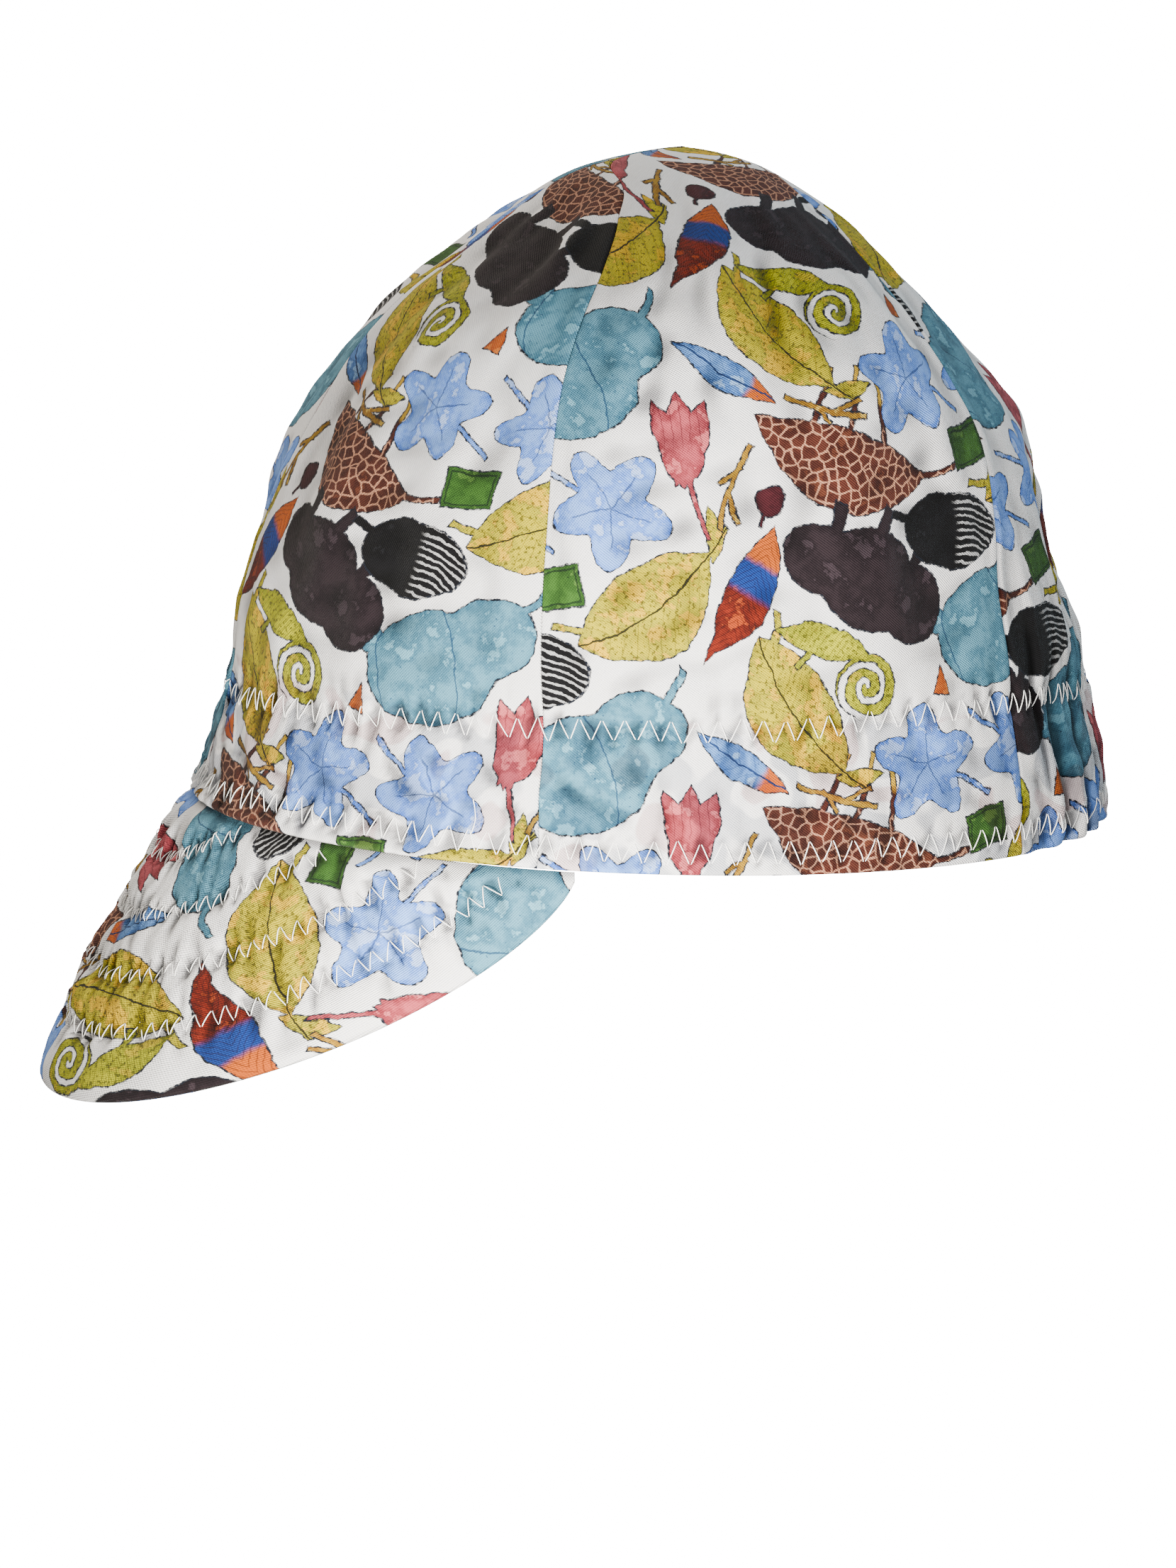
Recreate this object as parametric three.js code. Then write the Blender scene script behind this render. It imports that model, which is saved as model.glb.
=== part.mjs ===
// Soft cotton welding cap: a crown of six panels and a two-layer bill, bill worn to the front.
// Millimetres, +Z up. The bill points to -Y and the wearer's left is +X.
// The origin is the middle of the head opening, on the plane of the crown's hem.

import * as THREE from 'three';
import { mergeVertices } from 'three/addons/utils/BufferGeometryUtils.js';

// Head opening and crown
const RIM_FRONT = 101.2; // from the middle of the opening to the hem in front
const RIM_REAR = 101.5; // from the middle of the opening to the hem behind
const RIM_SIDE = 83; // from the middle of the opening to the hem at one side
const CROWN_HEIGHT = 140.5; // from the hem to the top of the middle seam

// Cloth of the crown
const CROWN_WALL = 1.2; // panel cloth with its seam allowances
const HEM_FOLD = 0.8; // what the turned-in hem adds to the wall, on the inside
const HEM_HEIGHT = 31; // height of the turned-in hem
const HEM_STEP = 3; // height over which the turned-in hem thins out to the single wall
const SEAM_GAP = 0.3; // clearance between neighbouring pieces

// Gathers of the rear panels
const GATHER_DEPTH = 1.9; // how far the deepest gather is drawn in

// Bill
const BILL_SPREAD = 70.5; // degrees from the front to where the bill's corner meets the hem
const BILL_PROJECTION = 31.7; // how far the bill's tip stands out past the hem in front
const BILL_DROP = 62.5; // how far the bill's tip hangs below the hem
const BILL_BOW = 1.9; // how far the bill's middle stands off a straight line, root to edge
const BILL_WALL = 1.3; // one layer of the bill with its interlining
const BILL_ROOT_INSET = 0.4; // the root's set-back behind the outer face of the hem

// Sections of the crown, from the hem to the top. Height is a share of CROWN_HEIGHT, and front,
// rear and side are shares of the three rim sizes. The last two columns are the places of the
// seams beside the side panel, in degrees round from the front; the two seams end on the middle
// seam where they reach 0 and 180 degrees.
const CROWN_SECTIONS = [
  { height: 0.0, front: 1.0, rear: 1.0, side: 1.0, frontSeam: 65.5, rearSeam: 129.1 },
  { height: 0.043, front: 0.973, rear: 0.991, side: 0.988, frontSeam: 65.0, rearSeam: 129.5 },
  { height: 0.1, front: 0.953, rear: 0.972, side: 0.973, frontSeam: 64.5, rearSeam: 130.0 },
  { height: 0.185, front: 0.924, rear: 0.937, side: 0.966, frontSeam: 64.0, rearSeam: 130.5 },
  { height: 0.285, front: 0.915, rear: 0.9, side: 0.969, frontSeam: 63.0, rearSeam: 130.7 },
  { height: 0.391, front: 0.882, rear: 0.84, side: 0.966, frontSeam: 61.8, rearSeam: 131.5 },
  { height: 0.498, front: 0.826, rear: 0.801, side: 0.954, frontSeam: 60.3, rearSeam: 132.8 },
  { height: 0.605, front: 0.752, rear: 0.732, side: 0.928, frontSeam: 58.2, rearSeam: 135.0 },
  { height: 0.69, front: 0.68, rear: 0.633, side: 0.875, frontSeam: 56.9, rearSeam: 136.8 },
  { height: 0.769, front: 0.584, rear: 0.533, side: 0.786, frontSeam: 56.2, rearSeam: 137.6 },
  { height: 0.84, front: 0.459, rear: 0.43, side: 0.662, frontSeam: 54.8, rearSeam: 138.4 },
  { height: 0.904, front: 0.349, rear: 0.329, side: 0.502, frontSeam: 52.5, rearSeam: 140.8 },
  { height: 0.954, front: 0.247, rear: 0.227, side: 0.34, frontSeam: 43.5, rearSeam: 149.0 },
  { height: 0.985, front: 0.1255, rear: 0.133, side: 0.167, frontSeam: 0.0, rearSeam: 180.0 },
  { height: 1.0, front: 0.0, rear: 0.0, side: 0.0, frontSeam: 0.0, rearSeam: 180.0 },
];
const TOP_ROW = CROWN_SECTIONS.length - 1; // the apex
const SEAM_END_ROW = TOP_ROW - 1; // where the side seams run into the middle seam
const TIP_BACKOFF = 0.07; // rows by which a front or rear panel's tip stops short of that

// Rows of the sections table at which the panels have a line of corners
const LOWER_ROWS = [0, 0.5, 1, 2, 3, 3.5, 4, 5, 6, 7, 7.5, 8, 8.5, 9, 9.5, 10, 10.5, 11, 11.5, 12, 12.5];
const TIPPED_ROWS = [...LOWER_ROWS, SEAM_END_ROW - TIP_BACKOFF];
const TOPPED_ROWS = [...TIPPED_ROWS, SEAM_END_ROW, SEAM_END_ROW + 0.4, SEAM_END_ROW + 0.75, TOP_ROW];

// Gathers drawn in by the elastic of the rear hem. Place and width are shares of a rear panel's
// angle from its side seam to the middle seam, depth a share of GATHER_DEPTH, and top the share
// of CROWN_HEIGHT at which the gather has run out.
const REAR_GATHERS = [
  { place: 0.1, width: 0.13, depth: 0.55, top: 0.34 },
  { place: 0.24, width: 0.15, depth: 1.0, top: 0.52 },
  { place: 0.4, width: 0.12, depth: 0.7, top: 0.38 },
  { place: 0.54, width: 0.16, depth: 0.95, top: 0.46 },
  { place: 0.7, width: 0.13, depth: 0.65, top: 0.6 },
  { place: 0.86, width: 0.15, depth: 0.9, top: 0.42 },
];

// The bill's edge is a half ellipse in plan, from corner to corner through the tip. These powers
// of the cosine of its angle trim how far forward and how far down it reaches on the way.
const BILL_EDGE = { forward: 1.05, down: 0.69 };
const BILL_ROOT_LINEAR = 0.15; // share of the root's angle that follows the edge's angle evenly
const BILL_END = 0.995; // share of the quarter turn at which the corner is cut square
const BILL_STEPS_ACROSS = 28;
const BILL_STEPS_DOWN = 6;
const BOW_REACH = 60; // width of bill that has the full bow

const COTTON_PRINT = 0xdedcd6;
const COTTON_LINING = 0xe6e4df;
const COTTON_ROUGHNESS = 0.85;

const radians = THREE.MathUtils.degToRad;

// Catmull-Rom value through four neighbouring rows of a table.
function smoothBetween(before, from, to, after, share) {
  const cube = share ** 3;
  const square = share ** 2;
  return 0.5 * (
    2 * from
    + (to - before) * share
    + (2 * before - 5 * from + 4 * to - after) * square
    + (3 * from - before - 3 * to + after) * cube
  );
}

// One column of the sections table at a row that needn't be whole. Past the hem the table runs
// on straight, and past the apex the reaches come back with the other sign.
function sectionValue(column, row) {
  const from = Math.min(Math.floor(row), TOP_ROW - 1);
  const value = (at) => {
    if (at < 0) {
      return 2 * CROWN_SECTIONS[0][column] - CROWN_SECTIONS[1][column];
    }
    if (at > TOP_ROW) {
      const mirrored = CROWN_SECTIONS[2 * TOP_ROW - at][column];
      return ['front', 'rear', 'side'].includes(column) ? -mirrored : mirrored;
    }
    return CROWN_SECTIONS[at][column];
  };
  return smoothBetween(value(from - 1), value(from), value(from + 1), value(from + 2), row - from);
}

// Angle of a seam at a row, held to the middle seam above the row where it ends there.
function seamAngle(column, row) {
  if (row >= SEAM_END_ROW) {
    return radians(CROWN_SECTIONS[SEAM_END_ROW][column]);
  }
  return radians(sectionValue(column, row));
}

// How far the rear gathers draw the cloth in: a sum of smooth humps that fade upwards.
function gatherDepth(angle, row) {
  const sideSeam = seamAngle('rearSeam', row);
  const height = sectionValue('height', row);
  const across = (angle - sideSeam) / (Math.PI - sideSeam);
  if (row >= SEAM_END_ROW || across <= 0) {
    return 0;
  }
  let depth = 0;
  for (const gather of REAR_GATHERS) {
    const away = Math.abs(across - gather.place) / gather.width;
    const fade = Math.max(0, 1 - height / gather.top);
    if (away < 0.5) {
      depth += GATHER_DEPTH * gather.depth * Math.cos(Math.PI * away) ** 2 * fade;
    }
  }
  return depth;
}

// Point on the crown's outer face, at an angle round from the front and a row of the table.
function crownFace(angle, row) {
  const drawn = gatherDepth(angle, row);
  const side = sectionValue('side', row) * RIM_SIDE;
  const front = sectionValue('front', row) * RIM_FRONT;
  const rear = sectionValue('rear', row) * RIM_REAR;
  const depth = Math.cos(angle) > 0 ? front : rear;
  return new THREE.Vector3(
    (side - drawn) * Math.sin(angle),
    -(depth - drawn) * Math.cos(angle),
    sectionValue('height', row) * CROWN_HEIGHT,
  );
}

// Unit vector square to a face that is worked out from two parameters.
function squareTo(face, first, second) {
  const step = 1e-3;
  const alongFirst = face(first + step, second).sub(face(first - step, second));
  const alongSecond = face(first, second + step).sub(face(first, second - step));
  const square = alongFirst.cross(alongSecond);
  return square.lengthSq() > 0 ? square.normalize() : new THREE.Vector3(0, 0, 1);
}

// Point of the crown's wall, the given depth inside its outer face. The wearer's left half is
// moved out by half a gap, which leaves the gap along the middle seam.
function crownWall(angle, row, depth) {
  const within = Math.min(row, TOP_ROW - 1e-3);
  const square = row === TOP_ROW ? new THREE.Vector3(0, 0, 1) : squareTo(crownFace, angle, within);
  const point = crownFace(angle, row).addScaledVector(square, -depth);
  point.x = Math.max(point.x, 0) + SEAM_GAP / 2;
  return point;
}

// Thickness of the crown's wall at a row: the hem is turned in up to its height.
function crownThickness(row) {
  const height = sectionValue('height', row) * CROWN_HEIGHT;
  const folded = THREE.MathUtils.clamp((HEM_HEIGHT - height) / HEM_STEP, 0, 1);
  return CROWN_WALL + HEM_FOLD * folded;
}

// Angle that half a gap takes up beside a seam.
function halfGapAngle(angle, row) {
  const step = 1e-3;
  const reach = crownFace(angle + step, row).distanceTo(crownFace(angle - step, row)) / (2 * step);
  return SEAM_GAP / 2 / reach;
}

// Closed shell between two skins. wall(across, row, inner) gives its points, with across from 0
// to 1, and walks round the outer face anticlockwise as seen from outside.
function shell(wall, steps, rows) {
  const columns = steps + 1;
  const positions = [];
  for (const inner of [false, true]) {
    for (const row of rows) {
      for (let i = 0; i < columns; i++) {
        positions.push(...wall(i / steps, row, inner).toArray());
      }
    }
  }
  const layer = rows.length * columns;
  const corner = (i, j, inner) => j * columns + i + (inner ? layer : 0);
  const index = [];
  const quad = (a, b, c, d) => index.push(a, b, c, a, c, d);
  const last = rows.length - 1;
  for (let j = 0; j < last; j++) {
    for (let i = 0; i < steps; i++) {
      quad(corner(i, j), corner(i + 1, j), corner(i + 1, j + 1), corner(i, j + 1));
      quad(corner(i, j, true), corner(i, j + 1, true), corner(i + 1, j + 1, true), corner(i + 1, j, true));
    }
    quad(corner(0, j), corner(0, j + 1), corner(0, j + 1, true), corner(0, j, true));
    quad(corner(steps, j), corner(steps, j, true), corner(steps, j + 1, true), corner(steps, j + 1));
  }
  for (let i = 0; i < steps; i++) {
    quad(corner(i, 0), corner(i, 0, true), corner(i + 1, 0, true), corner(i + 1, 0));
    quad(corner(i, last), corner(i + 1, last), corner(i + 1, last, true), corner(i, last, true));
  }
  const geometry = new THREE.BufferGeometry();
  geometry.setAttribute('position', new THREE.Float32BufferAttribute(positions, 3));
  geometry.setIndex(index);
  return closedAtPoints(geometry);
}

// Merges corners that fall on one point, such as a panel's tip, and drops the flat triangles
// that this leaves.
function closedAtPoints(geometry) {
  const merged = mergeVertices(geometry, 1e-4);
  const index = merged.index.array;
  const kept = [];
  for (let i = 0; i < index.length; i += 3) {
    const [a, b, c] = [index[i], index[i + 1], index[i + 2]];
    if (a !== b && b !== c && c !== a) {
      kept.push(a, b, c);
    }
  }
  merged.setIndex(kept);
  merged.computeVertexNormals();
  return merged;
}

// The same solid on the other side of the middle seam.
function mirroredAcross(geometry) {
  const other = geometry.clone();
  other.scale(-1, 1, 1);
  const index = other.index.array;
  for (let i = 0; i < index.length; i += 3) {
    [index[i + 1], index[i + 2]] = [index[i + 2], index[i + 1]];
  }
  other.computeVertexNormals();
  return other;
}

// Panel of the crown between two angles that depend on the row.
function crownPanel(fromAngle, toAngle, steps, rows) {
  return shell((across, row, inner) => {
    const from = fromAngle(row);
    const to = Math.max(toAngle(row), from);
    return crownWall(from + (to - from) * across, row, inner ? crownThickness(row) : 0);
  }, steps, rows);
}

// Angles at the two sides of a seam, each half a gap off its line.
function beforeSeam(column) {
  return (row) => {
    const angle = seamAngle(column, row);
    return row >= SEAM_END_ROW ? angle : angle - halfGapAngle(angle, row);
  };
}

function afterSeam(column) {
  return (row) => {
    const angle = seamAngle(column, row);
    return row >= SEAM_END_ROW ? angle : angle + halfGapAngle(angle, row);
  };
}

function frontPanel() {
  return crownPanel(() => 0, beforeSeam('frontSeam'), 10, TIPPED_ROWS);
}

function sidePanel() {
  return crownPanel(afterSeam('frontSeam'), beforeSeam('rearSeam'), 11, TOPPED_ROWS);
}

function rearPanel() {
  const from = afterSeam('rearSeam');
  return crownPanel((row) => Math.min(from(row), Math.PI), () => Math.PI, 24, TIPPED_ROWS);
}

// Point of the bill's root, tucked under the hem. The edge share runs from -1 to 1.
function billRoot(share) {
  const bent = BILL_ROOT_LINEAR * Math.abs(share) + (1 - BILL_ROOT_LINEAR) * share ** 2;
  const angle = radians(BILL_SPREAD) * Math.sign(share) * bent;
  return new THREE.Vector3(
    (RIM_SIDE - BILL_ROOT_INSET) * Math.sin(angle),
    -(RIM_FRONT - BILL_ROOT_INSET) * Math.cos(angle),
    -SEAM_GAP,
  );
}

// Point of the bill's outer edge for the same share.
function billEdge(share) {
  const corner = billRoot(1);
  const turn = Math.abs(share) * Math.PI / 2;
  const forward = RIM_FRONT + BILL_PROJECTION + corner.y;
  const cosine = Math.max(Math.cos(turn), 0);
  return new THREE.Vector3(
    Math.sign(share) * corner.x * Math.sin(turn),
    corner.y - forward * cosine ** BILL_EDGE.forward,
    -SEAM_GAP - BILL_DROP * cosine ** BILL_EDGE.down,
  );
}

// Point on the bill's upper face: straight from the root to the edge, bowed up in between.
function billFace(share, down) {
  const root = billRoot(share);
  const edge = billEdge(share);
  const width = edge.distanceTo(root);
  const bow = BILL_BOW * 4 * down * (1 - down) * width / BOW_REACH;
  const outwards = new THREE.Vector3(root.x, root.y, 0).normalize();
  const straight = edge.clone().sub(root).normalize();
  const across = new THREE.Vector3().crossVectors(new THREE.Vector3(0, 0, 1), outwards);
  const up = new THREE.Vector3().crossVectors(straight, across).normalize();
  return root.lerp(edge, down).addScaledVector(up, bow);
}

// One layer of the bill, from one depth under the upper face to another.
function billLayer(topDepth, bottomDepth) {
  const rows = Array.from({ length: BILL_STEPS_DOWN + 1 }, (_, i) => 1 - i / BILL_STEPS_DOWN);
  return shell((across, row, inner) => {
    const share = BILL_END * Math.sin((2 * across - 1) * Math.PI / 2);
    const square = squareTo(billFace, share, row).negate();
    return billFace(share, row).addScaledVector(square, -(inner ? bottomDepth : topDepth));
  }, BILL_STEPS_ACROSS, rows);
}

function cottonPiece(name, geometry, color) {
  const material = new THREE.MeshStandardMaterial({ color, roughness: COTTON_ROUGHNESS, metalness: 0 });
  const piece = new THREE.Mesh(geometry, material);
  piece.name = name;
  return piece;
}

const cap = new THREE.Group();
for (const [name, geometry] of [['front', frontPanel()], ['side', sidePanel()], ['rear', rearPanel()]]) {
  cap.add(cottonPiece(`panel_${name}_left`, geometry, COTTON_PRINT));
  cap.add(cottonPiece(`panel_${name}_right`, mirroredAcross(geometry), COTTON_PRINT));
}
cap.add(cottonPiece('bill_upper', billLayer(0, BILL_WALL), COTTON_PRINT));
const underTop = BILL_WALL + SEAM_GAP;
cap.add(cottonPiece('bill_under', billLayer(underTop, underTop + BILL_WALL), COTTON_LINING));

export default cap;
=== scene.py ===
"""Looks of a soft cotton welding cap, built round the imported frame.

Lengths are millimetres until a mesh is made, and +Z is up. The bill points to -Y and the wearer's
left is +X. Angles round the crown start at the front and are positive on the wearer's left.
"""

import logging
import math
from collections.abc import Callable
from dataclasses import dataclass
from enum import Enum

import bpy
import numpy as np
from mathutils import Matrix, Vector


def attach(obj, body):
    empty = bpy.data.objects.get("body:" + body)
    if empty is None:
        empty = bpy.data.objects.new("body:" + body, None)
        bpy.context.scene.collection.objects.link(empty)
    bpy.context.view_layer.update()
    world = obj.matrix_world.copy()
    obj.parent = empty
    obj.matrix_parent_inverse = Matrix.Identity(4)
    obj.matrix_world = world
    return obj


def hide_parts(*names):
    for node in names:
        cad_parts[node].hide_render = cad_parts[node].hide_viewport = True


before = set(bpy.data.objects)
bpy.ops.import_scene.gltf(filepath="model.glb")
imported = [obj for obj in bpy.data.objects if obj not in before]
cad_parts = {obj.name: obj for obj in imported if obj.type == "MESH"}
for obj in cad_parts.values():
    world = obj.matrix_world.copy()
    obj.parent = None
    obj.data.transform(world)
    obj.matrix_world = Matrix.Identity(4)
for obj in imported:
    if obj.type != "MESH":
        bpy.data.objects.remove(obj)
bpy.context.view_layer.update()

log = logging.getLogger("welding_cap")

Array = np.ndarray
Tone = tuple[float, float, float]
Span = tuple[float, float]
Socket = bpy.types.NodeSocket
MM = 0.001
BODY = "root"
CLOTH_MAP = "cloth"
# Point share of painted shade that darkens the cloth's colour: its creases, and on the bill also the line
# under the hem.
PAINTED_SHADE_MAP = "crease"
FOLD_MAP = "fold"


class Column(Enum):
    """Columns of the crown's table of sections."""

    HEIGHT = 0
    FRONT = 1
    REAR = 2
    SIDE = 3
    FRONT_SEAM = 4
    REAR_SEAM = 5


# Height, front, rear and side as shares of the crown's sizes, then the places of the two seams
# beside the side panel in degrees round from the front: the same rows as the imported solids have.
CROWN_SECTIONS = np.array(
    [
        (0.0, 1.0, 1.0, 1.0, 65.5, 129.1),
        (0.043, 0.973, 0.991, 0.988, 65.0, 129.5),
        (0.1, 0.953, 0.972, 0.973, 64.5, 130.0),
        (0.185, 0.924, 0.937, 0.966, 64.0, 130.5),
        (0.285, 0.915, 0.9, 0.969, 63.0, 130.7),
        (0.391, 0.882, 0.84, 0.966, 61.8, 131.5),
        (0.498, 0.826, 0.801, 0.954, 60.3, 132.8),
        (0.605, 0.752, 0.732, 0.928, 58.2, 135.0),
        (0.69, 0.68, 0.633, 0.875, 56.9, 136.8),
        (0.769, 0.584, 0.533, 0.786, 56.2, 137.6),
        (0.84, 0.459, 0.43, 0.662, 54.8, 138.4),
        (0.904, 0.349, 0.329, 0.502, 52.5, 140.8),
        (0.954, 0.247, 0.227, 0.34, 43.5, 149.0),
        (0.985, 0.1255, 0.133, 0.167, 0.0, 180.0),
        (1.0, 0.0, 0.0, 0.0, 0.0, 180.0),
    ]
)
TOP_ROW = len(CROWN_SECTIONS) - 1
SEAM_END_ROW = TOP_ROW - 1

# Gathers of a rear panel: place and width as shares of its angle, depth, and the share of the
# crown's height where the gather has run out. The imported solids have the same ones.
REAR_GATHERS = (
    (0.1, 0.13, 0.55, 0.34),
    (0.24, 0.15, 1.0, 0.52),
    (0.4, 0.12, 0.7, 0.38),
    (0.54, 0.16, 0.95, 0.46),
    (0.7, 0.13, 0.65, 0.6),
    (0.86, 0.15, 0.9, 0.42),
)


def unit(vectors: Array) -> Array:
    """Vectors divided by their lengths, along the last axis."""
    return vectors / np.maximum(np.linalg.norm(vectors, axis=-1, keepdims=True), 1e-12)


def run_lengths(line: Array) -> Array:
    """Length along a line of points up to each point: the sum of its steps so far."""
    return np.concatenate([[0], np.cumsum(np.linalg.norm(np.diff(line, axis=0), axis=-1))])


def hump(distance: Array, width: float) -> Array:
    """Bell curve of a distance: e to the minus square of distance over width."""
    return np.exp(-((distance / width) ** 2))


def rise(value: Array, start: float, end: float) -> Array:
    """Smooth step from 0 at start to 1 at end, by the cubic 3t^2 - 2t^3."""
    share = np.clip((value - start) / (end - start), 0, 1)
    return share**2 * (3 - 2 * share)


def rounded_off(distance: Array, radius: float) -> Array:
    """How far a rounded edge has dropped at a distance from it.

    A quarter circle of the given radius: the drop is the radius at the edge and nothing from one
    radius on.

    Args:
        distance: Distance from the edge.
        radius: Radius of the rounding.

    Returns:
        Drop below the flat face.
    """
    inwards = np.clip(radius - distance, 0, radius)
    return radius - np.sqrt(radius**2 - inwards**2)


def creases(stand: Array, reach: int = 3, depth: float = 0.36) -> Array:
    """Share of painted crease shade on a grid: how far a point lies under the mean of its neighbours.

    Args:
        stand: How far the cloth stands off its smooth face, on a grid.
        reach: Neighbours on each side that count to the mean.
        depth: Depth below the mean that counts as a full crease.

    Returns:
        0 to 1 on the same grid.
    """
    mean = stand
    for axis in (0, 1):
        pad = [(0, 0), (0, 0)]
        pad[axis] = (reach, reach)
        wide = np.pad(mean, pad, mode="edge")
        count = mean.shape[axis]
        mean = sum(np.take(wide, np.arange(i, i + count), axis) for i in range(2 * reach + 1))
        mean = mean / (2 * reach + 1)
    return np.clip((mean - stand) / depth, 0, 1)


@dataclass(frozen=True)
class Waves:
    """Smooth random field: a sum of plane waves with random headings, lengths and phases.

    Attributes:
        seed: Seed of the draw.
        wavelength: Mean length of a wave.
        terms: How many waves are added.
    """

    seed: int
    wavelength: float
    terms: int = 14

    def at(self, first: Array, second: Array) -> Array:
        """Value of the field, about -2 to 2, at two coordinates.

        Args:
            first: First coordinate.
            second: Second coordinate.

        Returns:
            The field at those places.
        """
        draw = np.random.default_rng(self.seed)
        heading = draw.uniform(0, 2 * np.pi, self.terms)
        phase = draw.uniform(0, 2 * np.pi, self.terms)
        rate = 2 * np.pi / (self.wavelength * draw.uniform(0.6, 1.5, self.terms))
        first, second = np.broadcast_arrays(np.asarray(first, float), np.asarray(second, float))
        turns = first[..., None] * rate * np.cos(heading) + second[..., None] * rate * np.sin(heading)
        return np.sin(turns + phase).sum(-1) * math.sqrt(2 / self.terms)


@dataclass(frozen=True)
class Swell:
    """Waves of the cloth with a depth."""

    depth: float
    waves: Waves

    def at(self, first: Array, second: Array) -> Array:
        """Height at two coordinates: the depth times the waves."""
        return self.depth * self.waves.at(first, second)


@dataclass(frozen=True)
class Ridge:
    """Line that stands up, or sinks where its height is below zero: a bell curve round a place."""

    height: float
    place: float
    width: float

    def at(self, distance: Array) -> Array:
        """Height at a distance."""
        return self.height * hump(distance - self.place, self.width)


@dataclass(frozen=True)
class ZigzagRelief:
    """What a zig-zag row does to its cloth.

    At each corner the thread pulls a dimple, and the cloth opposite it puffs up. Soft puckers and
    sharp creases cross the row: waves that change much faster along the row than across it.

    Attributes:
        groove_width: Width of the groove along the row.
        dimple: Depth and width of a dimple.
        puff: Height and width of a puff.
        pucker_length: Length of the waves of the puckers.
        pucker_rate: How fast they change across the row, as a share of that along it.
        pucker_reach: How far they reach off the row.
        crease_length: Length of the waves whose zeros are the creases.
        crease_rate: How fast those change across the row.
        crease_width: Width of a crease, in the waves' own value.
        crease_reach: How far creases reach off the row.
        crease_seed: Added to a row's seed for its creases.
    """

    groove_width: float
    dimple: Span
    puff: Span
    pucker_length: float
    pucker_rate: float
    pucker_reach: float
    crease_length: float
    crease_rate: float
    crease_width: float
    crease_reach: float
    crease_seed: int = 100

    def corners(self, phase: Array, pitch: Array | float, off: Array, half_height: float) -> Array:
        """Puffs less dimples.

        Args:
            phase: Number of zig-zags up to each place, whole at the top corners.
            pitch: Length of one zig-zag.
            off: Distance from the row's middle towards the top corners.
            half_height: Half the height of the zig-zag.

        Returns:
            Height that they add to the cloth.
        """
        to_top = np.abs(phase - np.round(phase)) * pitch
        to_foot = np.abs(phase - 0.5 - np.round(phase - 0.5)) * pitch
        over, below = off - half_height, off + half_height
        depth, width = self.dimple
        dimples = hump(np.hypot(to_top, over), width) + hump(np.hypot(to_foot, below), width)
        height, width = self.puff
        puffs = hump(np.hypot(to_foot, over), width) + hump(np.hypot(to_top, below), width)
        return height * puffs - depth * dimples

    def puckers(self, seed: int, along: Array, across: Array, off: Array) -> Array:
        """Soft puckers from about -2 to 2 that fade off the row."""
        soft = Waves(seed, self.pucker_length).at(along, across * self.pucker_rate)
        return soft * hump(off, self.pucker_reach)

    def creases(self, seed: int, along: Array, across: Array, off: Array) -> Array:
        """Sharp creases from 0 to 1 that fade off the row."""
        zeros = Waves(seed + self.crease_seed, self.crease_length).at(along, across * self.crease_rate)
        return hump(zeros, self.crease_width) * hump(off, self.crease_reach)


CROWN_ZIGZAG = ZigzagRelief(
    groove_width=2.6,
    dimple=(0.36, 0.85),
    puff=(0.2, 1.3),
    pucker_length=5.5,
    pucker_rate=0.22,
    pucker_reach=5.5,
    crease_length=9.5,
    crease_rate=0.2,
    crease_width=0.55,
    crease_reach=4.5,
)
BILL_ZIGZAG = ZigzagRelief(
    groove_width=3.0,
    dimple=(0.45, 0.9),
    puff=(0.3, 1.2),
    pucker_length=5.2,
    pucker_rate=0.35,
    pucker_reach=5.5,
    crease_length=8.5,
    crease_rate=0.3,
    crease_width=0.6,
    crease_reach=4.6,
)


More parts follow.
